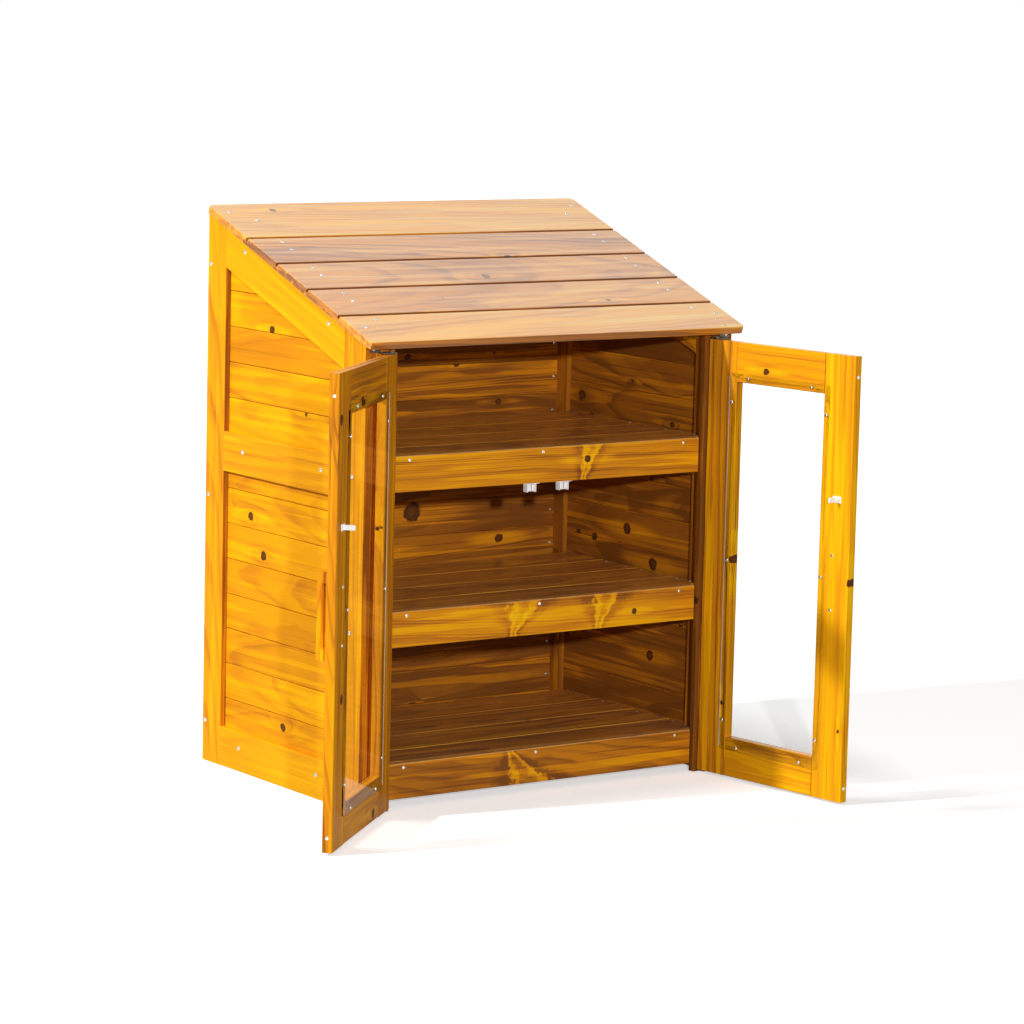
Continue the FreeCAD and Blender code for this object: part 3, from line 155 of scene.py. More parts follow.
class Finish:
    """A material or world in the making."""

    def __init__(self, owner):
        owner.use_nodes = True
        self.owner = owner
        self.tree = owner.node_tree
        self.tree.nodes.clear()

    def node(self, kind, settings=None, sockets=None):
        """A node with its settings made first, then its sockets; gives its outputs by name."""
        made = self.tree.nodes.new(kind)
        for name, setting in (settings or {}).items():
            if name == "stops":
                ramp = made.color_ramp
                while len(ramp.elements) < len(setting):
                    ramp.elements.new(0.5)
                for element, (position, colour) in zip(ramp.elements, setting):
                    element.position = position
                    element.color = (*colour, 1.0)
            else:
                setattr(made, name, setting)
        for name, entry in (sockets or {}).items():
            if isinstance(name, str):
                inlet = next(item for item in made.inputs if item.name == name and item.enabled)
            else:
                inlet = made.inputs[name]
            if isinstance(entry, Wire):
                self.tree.links.new(entry.socket, inlet)
            elif inlet.type == "VECTOR" and not hasattr(entry, "__len__"):
                inlet.default_value = (entry, entry, entry)
            elif inlet.type == "RGBA":
                inlet.default_value = (*entry, 1.0)
            else:
                inlet.default_value = entry
        return {outlet.name: Wire(self, outlet) for outlet in made.outputs if outlet.enabled}

    def maths(self, operation, *terms):
        """A Math node, or a Vector Math node where a term is a vector."""
        vectors = any(isinstance(term, Wire) and term.socket.type == "VECTOR" for term in terms)
        kind, outlet = ("ShaderNodeVectorMath", "Vector") if vectors else ("ShaderNodeMath", "Value")
        return self.node(kind, {"operation": operation}, dict(enumerate(terms)))[outlet]

    def place(self):
        """Where each point of the surface lies in the frame, in metres."""
        return self.node("ShaderNodeTexCoord")["Object"]

    def dot(self, wire, direction):
        sockets = {0: wire, 1: direction}
        return self.node("ShaderNodeVectorMath", {"operation": "DOT_PRODUCT"}, sockets)["Value"]

    def length(self, wire):
        return self.node("ShaderNodeVectorMath", {"operation": "LENGTH"}, {0: wire})["Value"]

    def vector(self, x, y, z=0.0):
        return self.node("ShaderNodeCombineXYZ", {}, {"X": x, "Y": y, "Z": z})["Vector"]

    def noise(self, place, detail=2.0, roughness=0.5):
        settings = {"noise_dimensions": "3D"}
        sockets = {"Vector": place, "Scale": 1.0, "Detail": detail, "Roughness": roughness}
        return self.node("ShaderNodeTexNoise", settings, sockets)["Fac"]

    def smooth(self, wire, low, high, start=0.0, end=1.0):
        """Runs smoothly from start to end while the wire goes from low to high."""
        sockets = {"Value": wire, "From Min": low, "From Max": high, "To Min": start, "To Max": end}
        return self.node("ShaderNodeMapRange", {"interpolation_type": "SMOOTHSTEP"}, sockets)["Result"]

    def hump(self, wire, rise, fall):
        """Rises smoothly from 0 to 1 over one stretch of the wire and falls back over a later one."""
        return self.smooth(wire, *rise) * self.smooth(wire, fall[1], fall[0])

    def varied(self, noise, low, high):
        """A value that goes from low to high with a noise."""
        return self.smooth(noise, *NOISE_REACH, low, high)

    def ramp(self, wire, stops):
        return self.node("ShaderNodeValToRGB", {"stops": stops}, {"Fac": wire})["Color"]

    def two_tones(self, noise, dark, pale):
        """A colour that goes from the dark one to the pale one with a noise."""
        return self.ramp(noise, list(zip(NOISE_REACH, (dark, pale))))

    def mix(self, share, first, second):
        """The second colour laid over the first, as far as the share says."""
        sockets = {"Factor": share, "A": first, "B": second}
        return self.node("ShaderNodeMix", {"data_type": "RGBA"}, sockets)["Result"]

    def bump(self, height, distance, strength=1.0):
        sockets = {"Height": height, "Distance": distance, "Strength": strength}
        return self.node("ShaderNodeBump", {}, sockets)["Normal"]

    def principled(self, **sockets):
        """The Principled shader; socket names are written with underscores."""
        named = {name.replace("_", " "): entry for name, entry in sockets.items()}
        return self.node("ShaderNodeBsdfPrincipled", {}, named)["BSDF"]

    def done(self, shader):
        self.node("ShaderNodeOutputMaterial", {}, {"Surface": shader})
        return self.owner


def new_finish(name):
    return Finish(bpy.data.materials.new(name))


# Pine under a honey varnish, from the palest wood to the heart of a knot
PINE_TONES = [
    (0.0, (0.97, 0.56, 0.006)),
    (0.3, (0.89, 0.40, 0.005)),
    (0.55, (0.66, 0.235, 0.009)),
    (0.78, (0.33, 0.107, 0.012)),
    (1.0, (0.07, 0.024, 0.008)),
]
PALEST_WOOD = 0.02
DARKEST_WOOD = 0.88
# Dusty grey, part dirt and part painted sheen, and the least share of it in its streaks
DUST = (0.46, 0.41, 0.34)
LEAST_DUST = 0.5
# A painted highlight: the colour of a pale rim along an edge, and its share
WORN_WOOD = (0.66, 0.36, 0.13)
WORN_SHARE = 0.75

# Noises in the wood: waves to the metre along the grain and across it, fineness, roughness
WOBBLE = (75.0, 75.0, 2.0, 0.5)
BEND = (1.1, 1.5, 1.0, 0.5)
RIPPLE = (5.0, 12.0, 2.0, 0.5)
FIBRES = (11.0, 480.0, 3.0, 0.6)
DARK_LINES = (2.4, 200.0, 2.0, 0.5)
PALE_STREAKS = (2.0, 60.0, 2.0, 0.5)
CLOUDS = (3.4, 14.0, 2.0, 0.5)
STREAK_SHIFT = 7.0 / 60.0

# How far chance moves the figure: along the grain, across it, in cells of knots, and the pith
RUN_SCATTER = 40.0
SIDE_SCATTER = 0.02
CELL_SCATTER = 9.0
PITH_SCATTER_ACROSS = 0.07
PITH_SCATTER_DEEP = 0.03

# Knots lie at most one to a cell, with swollen and paler wood round them. A distance along the
# grain counts for less than one across it, which makes all of this longer along the grain.
KNOT_SPACING_ACROSS = 0.12
KNOT_IN_CELL = 0.9
KNOT_ALONG = 0.85
SWELL_SHAPE = (0.42, 1.0, 0.0)
FLARE_SHAPE = (0.2, 1.3, 0.0)
KNOWN_FLARE_SHAPE = (0.2, 1.2, 0.0)
LUCKIEST_KNOT = 1.05
SMALLEST_KNOT = 0.0006
KNOT_WOBBLE = 1.1
SWELL_FALL = 0.2
RINGS_IN_KNOT = 2.6
HEART_TONE = 0.99
BARK_TONE = 1.08
GRAIN_PARTING = 1.3
LEAST_REACH = 0.001

# Places out from the middle of a knot, where 1 is its edge
FLARE_REACH = (2.2, 0.9)
HEART_REACH = (1.15, 0.85)
BARK_REACH = (0.4, 0.95)

# Growth rings round a pith that lies behind the face
RING_WIDTH = 0.0031
PITH_DEPTH = 0.022
PITH_BEND = 0.05
TRUNK_TAPER = 0.018
RING_RIPPLE = 0.004
RING_SWELL = 0.8
LATE_WOOD = ((0.45, 0.86), (0.92, 1.0))
RINGS_IN_BAND = 6.5
BAND_RIPPLE = 0.8
DARK_BAND = ((0.2, 0.9), (0.93, 1.0))
SEASON_CHANGE = 0.31
SEASON_SCATTER = 30.0
SEASON_PLACE = 3.0
MARKED_SEASON = (0.38, 0.66)

# Where a noise shows as a line, a streak or a patch of dusty grey, part dirt and part painted sheen
LINE_EDGE = (0.56, 0.68)
STREAK_EDGE = (0.54, 0.62)
DUST_EDGE = (0.4, 0.6)

# How much darker or paler each part of the figure makes the wood
LATE_WOOD_TONE = 0.2
BAND_TONE = 0.12
LINE_TONE = 0.12
STREAK_TONE = 0.18
FLARE_TONE = 0.24
SWELL_TONE = 0.18
FIBRE_TONE = 0.14
CLOUD_TONE = 0.26
FIGURE_MIDDLE = 0.05
BOARD_TONE = 0.12
END_TONE = 0.2
# The long edges' darkening is painted shade
LONG_EDGE_TONE = 0.42
KNOT_RING_TONE = 0.09

# Knots that were sawn lengthwise: pale strands like the edges of a fan, dark wood beside them
FAN_FOOT = 0.006
FAN_WOBBLE = 2.0
FAN_RIPPLE = 1.5
FAN_STRAND = ((0.1, 0.8), (0.8, 1.5))
FAN_SHADE = ((1.0, 1.5), (1.5, 3.6))
STRAND_TONE = 0.3
SHADE_TONE = 0.2

# Faces, by the cosine of the angle to the way they are asked to look
UPWARD_FACE = (0.75, 0.95)
END_FACE = (0.7, 0.95)
LONG_EDGE_FACE = (0.6, 0.9)
TURNED_FACE = (0.4, 0.9)

# Half the width of a joint between boards, and of a rim with a painted highlight at its faint and its full
# place
SEAM_HALF_WIDTH = 0.0011
RIM_HALF_WIDTHS = (0.0028, 0.0008)

# Varnish
POOLED_COAT = 0.7
COAT_ROUGHNESS = 0.22
SMOOTHEST_WOOD = 0.34
ROUGHEST_WOOD = 0.5
WOOD_RELIEF = 0.0004
WOOD_RELIEF_STRENGTH = 0.6
FIBRE_RELIEF = 0.5
LATE_WOOD_RELIEF = 0.5
HEART_RELIEF = 0.4


class Timber(Finish):
    """The finish of a piece of pine, or of a wall of boards, in the making.

    run goes along the grain, side across the broad face and through into the wood, in
    metres. Chance moves run and side, so that no two boards look alike, and true_run and
    true_side are where they would be without it. wall is the place of the first joint and
    the width of a board, where a piece has several boards.
    """

    def __init__(self, name, along, across, wall):
        super().__init__(bpy.data.materials.new(name))
        dice = random.Random(name)
        place = self.place()
        self.facing = self.node("ShaderNodeTexCoord")["Normal"]
        self.true_run = self.dot(place, along)
        self.true_side = self.dot(place, across)
        self.through = self.dot(place, along.cross(across))
        if wall:
            first_joint, cover = wall
            number = self.maths("FLOOR", (self.true_side - first_joint) / cover)
            middle = (number + 0.5) * cover + first_joint
            sockets = {"W": number + dice.uniform(0, 100)}
            draw = self.node("ShaderNodeTexWhiteNoise", {"noise_dimensions": "1D"}, sockets)["Color"]
            parts = self.node("ShaderNodeSeparateXYZ", {}, {"Vector": draw})
            self.luck = [parts[axis] for axis in "XYZ"]
            self.side = self.true_side - middle
            self.seam = self.smooth(cover / 2 - self.size_of(self.side), SEAM_HALF_WIDTH, 0.0)
        else:
            self.luck = [dice.random() for _ in range(3)]
            self.side = self.true_side - dice.uniform(-SIDE_SCATTER, SIDE_SCATTER)
            self.seam = None
        self.run = self.true_run + self.luck[0] * RUN_SCATTER
        self.ripple = self.waves(RIPPLE, self.side) - 0.5
        self.wobble = self.waves(WOBBLE, self.side) - 0.5

    def size_of(self, wire):
        return self.maths("ABSOLUTE", wire)

    def waves(self, kind, side):
        """A noise that is stretched along the grain."""
        along, across, fineness, roughness = kind
        place = self.vector(self.run * along, side * across, self.through * across)
        return self.noise(place, fineness, roughness)

    def faces(self, direction, cosines):
        """1 on the faces that look along a direction or against it."""
        return self.smooth(self.size_of(self.dot(self.facing, direction)), *cosines)

    def grow_knots(self, share, spacing, radius, known_knots):
        """Knots that lie about by chance, and known ones at their places.

        nearness is 1 at the edge of a knot, swell is how much the wood round it is swollen,
        and flare is how much of the pale wood beside it shows.
        """
        cell = self.vector(self.run / spacing,
                           self.side / KNOT_SPACING_ACROSS + self.luck[1] * CELL_SCATTER)
        cells = self.node("ShaderNodeTexVoronoi", {"voronoi_dimensions": "2D", "feature": "F1"},
                          {"Vector": cell, "Scale": 1.0, "Randomness": KNOT_IN_CELL})
        self.apart = (cell - cells["Position"]) * (spacing * KNOT_ALONG, KNOT_SPACING_ACROSS, 0.0)
        self.reach = self.length(self.apart)
        chance = self.node("ShaderNodeSeparateXYZ", {}, {"Vector": cells["Color"]})["X"]
        self.knot_size = self.smooth(chance, 1.0 - share, LUCKIEST_KNOT, 0.0, radius) + SMALLEST_KNOT
        self.nearness = self.reach / self.knot_size + self.wobble * KNOT_WOBBLE
        eye = self.length(self.apart * SWELL_SHAPE) / self.knot_size
        self.swell = self.maths("EXPONENT", eye * eye * -SWELL_FALL)
        self.flare = self.smooth(self.length(self.apart * FLARE_SHAPE) / self.knot_size, *FLARE_REACH)
        for place, known_radius in known_knots:
            gap = self.vector(self.true_run, self.true_side) - (*place, 0.0)
            nearness = self.length(gap) / known_radius + self.wobble
            self.nearness = self.maths("MINIMUM", self.nearness, nearness)
            flare = self.smooth(self.length(gap * KNOWN_FLARE_SHAPE) / known_radius, *FLARE_REACH)
            self.flare = self.maths("MAXIMUM", self.flare, flare)

    def growth_rings(self):
        """The dark late wood of each ring, how marked its season was, and bands of dark rings."""
        pith_side = self.side + (self.luck[2] - 0.5) * PITH_SCATTER_ACROSS
        pith_side = pith_side + (self.waves(BEND, self.side) - 0.5) * PITH_BEND
        pith_depth = self.through + self.luck[1] * PITH_SCATTER_DEEP + PITH_DEPTH
        radius = self.maths("SQRT", pith_side * pith_side + pith_depth * pith_depth)
        radius = radius + self.run * TRUNK_TAPER + self.ripple * RING_RIPPLE
        rings = (radius + self.swell * self.knot_size * RING_SWELL) / RING_WIDTH
        late = self.hump(self.maths("FRACT", rings), *LATE_WOOD)
        year = self.vector(rings * SEASON_CHANGE, self.luck[0] * SEASON_SCATTER, SEASON_PLACE)
        season = self.smooth(self.noise(year, 1.0), *MARKED_SEASON)
        turn = self.maths("FRACT", rings / RINGS_IN_BAND + self.ripple * BAND_RIPPLE)
        return late, season, self.hump(turn, *DARK_BAND)

    def parted_grain(self):
        """The place across the grain, whose fibres part round the knots."""
        apart_across = self.node("ShaderNodeSeparateXYZ", {}, {"Vector": self.apart})["Y"]
        part = apart_across / (self.reach + LEAST_REACH)
        return self.side - part * self.knot_size * self.swell * GRAIN_PARTING

    def fan(self, place, way, widening, lean):
        """The change of tone at a knot that was sawn lengthwise."""
        foot_run, foot_side = place
        rise = self.maths("MAXIMUM", (self.true_side - foot_side) * way, 0.0)
        beside = self.size_of(self.true_run - foot_run - rise * lean)
        unrest = self.wobble * FAN_WOBBLE + self.ripple * FAN_RIPPLE
        spread = beside / (rise * widening + FAN_FOOT) + unrest
        return self.hump(spread, *FAN_SHADE) * SHADE_TONE - self.hump(spread, *FAN_STRAND) * STRAND_TONE


def varnished_pine(name, along, across, stain=0.4, wall=None, knots=0.5, knot_every=0.34, knot_radius=0.0105,
                   figure=1.0, specular=0.03, coat=0.0, dark_edges=False, turned=None, dust=0.0,
                   seam_stain=0.3, pale_rim=None, known_knots=(), fans=()):
    """Sawn pine: growth rings round a pith, knots, streaks and fibres.

    along is the direction of the grain and across lies in the broad face. stain says how
    dark the varnish came out, and figure how marked the wood is. wall is the place of the
    first joint and the width of a board, where a piece has several boards, and
    seam_stain is how much darker their joints are; below nought it paints
    them pale instead, a painted highlight. knots is the share of the cells that have a knot,
    knot_every their length and knot_radius the largest knot. The sawn ends took more of
    the stain and have no gloss, but ends that face up are left pale, a painted highlight.
    With dark_edges the long edges are darker too and have no gloss, as painted shade.
    turned is a direction and how much darker the faces are that look that way, as painted
    shade; below nought they are paler instead, a painted highlight. dust is the share
    of dusty grey, part dirt and part painted sheen, that lies in streaks on the varnish.
    pale_rim is the place across of an edge that is painted pale, a painted highlight.
    known_knots are knots that are seen on the real one: a place along and
    across, and a radius. fans are its knots that were sawn lengthwise: the place of the
    foot, the way that the fan opens across, how fast it widens and how far it leans.
    """
    pine = Timber(name, along, across, wall)
    pine.grow_knots(knots, knot_every, knot_radius, known_knots)
    late, season, band = pine.growth_rings()
    grain = pine.parted_grain()
    fibres = pine.waves(FIBRES, grain)
    streaks = pine.waves(PALE_STREAKS, grain + STREAK_SHIFT)

    tone = late * season * LATE_WOOD_TONE + band * BAND_TONE
    tone = tone + pine.smooth(pine.waves(DARK_LINES, grain), *LINE_EDGE) * LINE_TONE
    tone = tone - pine.smooth(streaks, *STREAK_EDGE) * STREAK_TONE
    tone = tone + pine.swell * SWELL_TONE - pine.flare * FLARE_TONE
    tone = tone + (fibres - 0.5) * FIBRE_TONE + (pine.waves(CLOUDS, grain) - 0.5) * CLOUD_TONE
    tone = (tone - FIGURE_MIDDLE) * figure + (pine.luck[2] - 0.5) * BOARD_TONE + stain
    for fan in fans:
        tone = tone + pine.fan(*fan)

    # Ends came out darker, save ends that face up, left pale as a painted highlight; long edges where asked
    # get painted shade, and joints between boards are darker except where a painted highlight makes them
    # pale
    upward = pine.smooth(pine.dot(pine.facing, UP), *UPWARD_FACE)
    # Ends that face up are not darkened: a painted highlight, where light falls on top
    sawn = pine.faces(along, END_FACE) * (1 - upward)
    tone = tone + sawn * END_TONE
    # Long edges darkened as painted shade, with no gloss
    if dark_edges:
        long_edge = pine.faces(across, LONG_EDGE_FACE)
        tone = tone + long_edge * LONG_EDGE_TONE
        sawn = pine.maths("MAXIMUM", sawn, long_edge)
    # Faces that look the given way are darker, as painted shade, and paler instead where the amount is below
    # nought, as a painted highlight
    if turned:
        look, change = turned
        tone = tone + pine.smooth(pine.dot(pine.facing, look), *TURNED_FACE, 0.0, change)
    # Joints between boards are darker; a negative amount paints them pale instead, a painted highlight
    if pine.seam:
        tone = tone + pine.seam * seam_stain
    tone = pine.maths("MINIMUM", pine.maths("MAXIMUM", tone, PALEST_WOOD), DARKEST_WOOD)

    heart = pine.smooth(pine.nearness, *HEART_REACH)
    knot_rings = pine.maths("FRACT", pine.nearness * RINGS_IN_KNOT) * KNOT_RING_TONE
    knot_tone = pine.smooth(pine.nearness, *BARK_REACH, HEART_TONE, BARK_TONE) - knot_rings
    tone = tone + heart * (knot_tone - tone)
    colour = pine.ramp(tone, PINE_TONES)
    # Streaks of dusty grey: part dirt, part painted sheen
    if dust:
        share = pine.smooth(streaks, *DUST_EDGE, LEAST_DUST * dust, dust) * (1 - sawn)
        colour = pine.mix(share, colour, DUST)
    # A pale rim along one edge: a painted highlight
    if pale_rim:
        worn = pine.smooth(pine.size_of(pine.true_side - pale_rim), *RIM_HALF_WIDTHS, 0.0, WORN_SHARE)
        colour = pine.mix(worn, colour, WORN_WOOD)

    # Varnish pools on what lies level
    gloss = (1 - sawn) * pine.maths("MAXIMUM", upward * POOLED_COAT, coat)
    relief = fibres * FIBRE_RELIEF + late * LATE_WOOD_RELIEF + heart * HEART_RELIEF
    return pine.done(pine.principled(
        Base_Color=colour,
        Roughness=pine.varied(fibres, SMOOTHEST_WOOD, ROUGHEST_WOOD),
        Specular_IOR_Level=specular,
        Coat_Weight=gloss,
        Coat_Roughness=COAT_ROUGHNESS,
        Normal=pine.bump(relief, WOOD_RELIEF, WOOD_RELIEF_STRENGTH),
    ))


# Clear sheets: a low index keeps them clear at flat angles too, and where the smears lie they are rougher.
# The dull sawn edge is full at the second of its two distances in from the side.
CLEAR_PLASTIC = (0.965, 0.98, 0.975)
CLEAR_SHADOW = (0.95, 0.965, 0.96)
CLEAR_INDEX = 1.1
SMEAR_WAVES = 14.0
SMEAR_EDGE = (0.55, 0.8)
SMEAR_ROUGHNESS = 0.05
DULL_EDGE = (0.0008, 0.0003)
DULL_PLASTIC = (0.55, 0.50, 0.42)


def clear_sheet(side):
    """Clear plastic that lets the lamps through, sawn dull along the hinge side."""
    sheet = new_finish(f"{side}_clear_sheet")
    place = sheet.place()
    smear = sheet.noise(place * SMEAR_WAVES, detail=3.0, roughness=0.6)
    glossy = sheet.principled(
        Base_Color=CLEAR_PLASTIC,
        Transmission_Weight=1.0,
        IOR=CLEAR_INDEX,
        Roughness=sheet.smooth(smear, *SMEAR_EDGE, 0.0, SMEAR_ROUGHNESS),
    )
    clear_air = sheet.node("ShaderNodeBsdfTransparent", {}, {"Color": CLEAR_SHADOW})["BSDF"]
    path = sheet.node("ShaderNodeLightPath")
    lamplight = sheet.maths("MAXIMUM", path["Is Shadow Ray"], path["Is Diffuse Ray"])
    clear = sheet.node("ShaderNodeMixShader", {}, {0: lamplight, 1: glossy, 2: clear_air})["Shader"]
    dull = sheet.principled(Base_Color=DULL_PLASTIC, Roughness=0.5)
    across = door_directions(side)[0]
    hinge_side = span([point.co for point in nodes[f"{side}_door_pane"].data.vertices], across)[0]
    edge = sheet.smooth(sheet.dot(place, across) - hinge_side, *DULL_EDGE)
    return sheet.done(sheet.node("ShaderNodeMixShader", {}, {0: edge, 1: clear, 2: dull})["Shader"])


# Zinc plate with a bloom, steel scuffed in level lines and darkened as painted shade, and white plastic with
# a fine grain
ZINC_WAVES = 260.0
STEEL_WAVES = (120.0, 120.0, 900.0)
PLASTIC_WAVES = 900.0
PLASTIC_RELIEF = 0.0002
PLASTIC_RELIEF_STRENGTH = 0.3


def zinc_plate():
    zinc = new_finish("zinc_plate")
    bloom = zinc.noise(zinc.place() * ZINC_WAVES, detail=3.0, roughness=0.6)
    return zinc.done(zinc.principled(
        Base_Color=zinc.two_tones(bloom, dark=(0.50, 0.495, 0.47), pale=(0.76, 0.755, 0.73)),
        Metallic=1.0,
        Roughness=zinc.varied(bloom, low=0.24, high=0.42),
    ))


def dull_steel():
    steel = new_finish("dull_steel")
    scuff = steel.noise(steel.place() * STEEL_WAVES, detail=3.0, roughness=0.6)
    # Its dark colours are painted shade
    return steel.done(steel.principled(
        Base_Color=steel.two_tones(scuff, dark=(0.11, 0.09, 0.07), pale=(0.21, 0.18, 0.14)),
        Metallic=1.0,
        Roughness=steel.varied(scuff, low=0.45, high=0.62),
    ))


def white_plastic():
    plastic = new_finish("white_plastic")
    grain = plastic.noise(plastic.place() * PLASTIC_WAVES)
    return plastic.done(plastic.principled(
        Base_Color=plastic.two_tones(grain, dark=(0.92, 0.915, 0.90), pale=(0.97, 0.97, 0.96)),
        Roughness=0.38,
        Normal=plastic.bump(grain, PLASTIC_RELIEF, PLASTIC_RELIEF_STRENGTH),
    ))


def dress(name, finish):
    """Give a CAD piece its finish."""
    for slot in nodes[name].material_slots:
        slot.material = finish


def dress_timber(name, along, across, **finish):
    dress(name, varnished_pine(name, along, across, **finish))


def dress_boards(name, along, across, **finish):
    """The joints of a wall of boards are read from the boards themselves."""
    feet = sorted(span(solid, across)[0] for solid in loose_parts(nodes[name].data))
    dress(name, varnished_pine(name, along, across, wall=(feet[1], feet[2] - feet[1]), **finish))


# How much painted shade darkens the walls inside, how much a painted highlight pales the front boards' outer
# edges, the stain of the front boards, and the knots that stand out inside the right wall
INSIDE_TONE = 0.4
REAR_CORNER_TONE = 0.5
FRONT_CORNER_TONE = 0.4
FRONT_BOARD_EDGE_TONE = -0.3
FRONT_BOARD_STAIN = {"left": 0.68, "right": 0.86}
RIGHT_WALL_KNOTS = [((-0.276, 0.468), 0.012), ((-0.159, 0.436), 0.009), ((-0.370, 0.405), 0.013),
                    ((-0.369, 0.207), 0.011)]


def dress_side_walls():
    """The walls are darker inside: painted shade. The front boards' outer edges are paler: a painted
    highlight.
    """
    for side, inward in (("left", RIGHT), ("right", -RIGHT)):
        inside = (inward, INSIDE_TONE)
        dress_timber(f"{side}_rear_stile", UP, REAR, stain=0.37, knots=0.35, figure=0.8,
                     turned=((inward - REAR).normalized(), REAR_CORNER_TONE))
        dress_timber(f"{side}_front_stile", UP, REAR, stain=0.5, knots=0.35, figure=0.8,
                     turned=((inward + REAR).normalized(), FRONT_CORNER_TONE))
        dress_timber(f"{side}_top_rail", UPSLOPE, UPSLOPE.cross(RIGHT), stain=0.28, knots=0.3, figure=0.6,
                     turned=inside)
        for member in ("middle_rail", "bottom_rail"):
            dress_timber(f"{side}_{member}", REAR, UP, stain=0.37, knots=0.35, figure=0.8, turned=inside)
        dress_timber(f"{side}_front_board", UP, RIGHT, stain=FRONT_BOARD_STAIN[side], knots=0.8,
                     turned=(-inward, FRONT_BOARD_EDGE_TONE))
        for panel in ("lower_boards", "upper_boards"):
            known_knots = RIGHT_WALL_KNOTS if (side, panel) == ("right", "lower_boards") else ()
            dress_boards(f"{side}_{panel}", REAR, UP, stain=0.4, knots=0.7, knot_every=0.26, figure=0.75,
                         specular=0.02, turned=inside, known_knots=known_knots)


# The back wall, which is darker inside as painted shade, and the knots that stand out there
BACK_INSIDE_TONE = 0.34
BACK_KNOTS = [((0.041, 0.496), 0.02), ((0.269, 0.424), 0.01)]


def dress_back():
    dress_boards("back_boards", RIGHT, UP, stain=0.45, knots=0.8, knot_every=0.28, specular=0.15,
                 turned=(-REAR, BACK_INSIDE_TONE), known_knots=BACK_KNOTS)
    dress_timber("back_battens", UP, RIGHT, knots=0.3)


# The stain of the roof boards, from the front to the rear
ROOF_STAINS = (0.34, 0.46, 0.56, 0.52, 0.38)


def dress_roof():
    for number, stain in enumerate(ROOF_STAINS, start=1):
        # The long edges of the roof boards get painted shade
        dress_timber(f"roof_board_{number}", RIGHT, UPSLOPE, stain=stain, specular=0.5, coat=1.0,
                     figure=1.1, dark_edges=True, dust=0.3)
    dress_timber("roof_battens", UPSLOPE, RIGHT, knots=0.3)


# The aprons of the shelves, and their knots, some of them sawn lengthwise
APRON_STAIN = {"lower": 0.6, "middle": 0.56, "upper": 0.56}
APRON_KNOTS = {
    "lower": [],
    "middle": [((0.223, 0.351), 0.006)],
    "upper": [((0.094, 0.673), 0.008)],
}
APRON_FANS = {
    "lower": [((-0.081, 0.086), -1, 0.4, 0.8)],
    "middle": [((-0.079, 0.331), 1, 0.42, 0.47), ((0.132, 0.328), 1, 0.34, 0.33)],
    "upper": [((0.085, 0.637), 1, 0.2, 0.3)],
}


def dress_shelves():
    for level in ("lower", "middle", "upper"):
        apron = f"{level}_shelf_apron"
        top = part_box(apron)[1][2]
        # Each apron's top edge carries a pale rim, a painted highlight
        dress_timber(apron, RIGHT, UP, stain=APRON_STAIN[level], knots=0.3, figure=1.1, specular=0.1,
                     pale_rim=top, known_knots=APRON_KNOTS[level], fans=APRON_FANS[level])
        # The shelf boards' joints are painted pale, a painted highlight, and streaked with dusty grey that
        # is part painted sheen
        dress_boards(f"{level}_shelf_boards", RIGHT, REAR, stain=0.6, figure=1.3, specular=0.5, dust=0.14,
                     seam_stain=-0.3)
        dress_timber(f"{level}_shelf_bearers", REAR, UP, knots=0.3)


# How dark each member of a door is, and how marked its figure. The left door's stiles and rails are stained
# darker than the right door's: painted shade.
DOOR_MEMBERS = {
    "left": {"hinge_stile": (0.56, 1.0), "free_stile": (0.52, 1.0), "top_rail": (0.52, 1.3),
             "bottom_rail": (0.48, 1.0), "handle": (0.36, 1.0)},
    "right": {"hinge_stile": (0.48, 1.5), "free_stile": (0.38, 1.1), "top_rail": (0.34, 1.0),
              "bottom_rail": (0.36, 1.2), "handle": (0.4, 1.0)},
}


def dress_doors():
    for side, members in DOOR_MEMBERS.items():
        across_door = door_directions(side)[0]
        for member, (stain, figure) in members.items():
            grain = (across_door, UP) if "rail" in member else (UP, across_door)
            dress_timber(f"{side}_door_{member}", *grain, stain=stain, knots=0.7, knot_every=0.26,
                         figure=figure)
        dress(f"{side}_door_pane", clear_sheet(side))
        dress(f"{side}_door_strike", plastic)


# Screws with a domed head and a cross recess, in the places of the plain ones. The head's profile
# and the cross are in radii and heights of the head.
HEAD_SIDES = 28
HEAD_PROFILE = [(0.90, 0.0), (1.0, 0.08), (1.0, 0.22), (0.97, 0.42), (0.88, 0.66), (0.70, 0.86),
                (0.46, 0.96), (0.2, 1.0)]
CROSS_LENGTH = 1.05
CROSS_WIDTH = 0.2
CROSS_HEIGHT = 1.3
CROSS_MIDDLE = 1.1
SHANK_SIDES = 12
SHANK_SHARE = 0.43
THICKEST_SHANK = 0.0025
SHANK_IN_HEAD = 0.05

# A plain screw's head lies in its last stretch, and its rim at nearly its full radius
END_STRETCH = 0.004
RIM_SHARE = 0.97


def lathe(profile, sides):
    """A turned form from (radius, height) points, bottom to top, closed at both ends."""
    form = bmesh.new()
    rings = []
    for radius, height in profile:
        rings.append([form.verts.new((radius * math.cos(turn), radius * math.sin(turn), height))
                      for turn in (2 * math.pi * step / sides for step in range(sides))])
    for lower, upper in zip(rings, rings[1:]):
        for index in range(sides):
            following = (index + 1) % sides
            form.faces.new((lower[index], lower[following], upper[following], upper[index]))
    form.faces.new(list(reversed(rings[0])))
    form.faces.new(rings[-1])
    return form


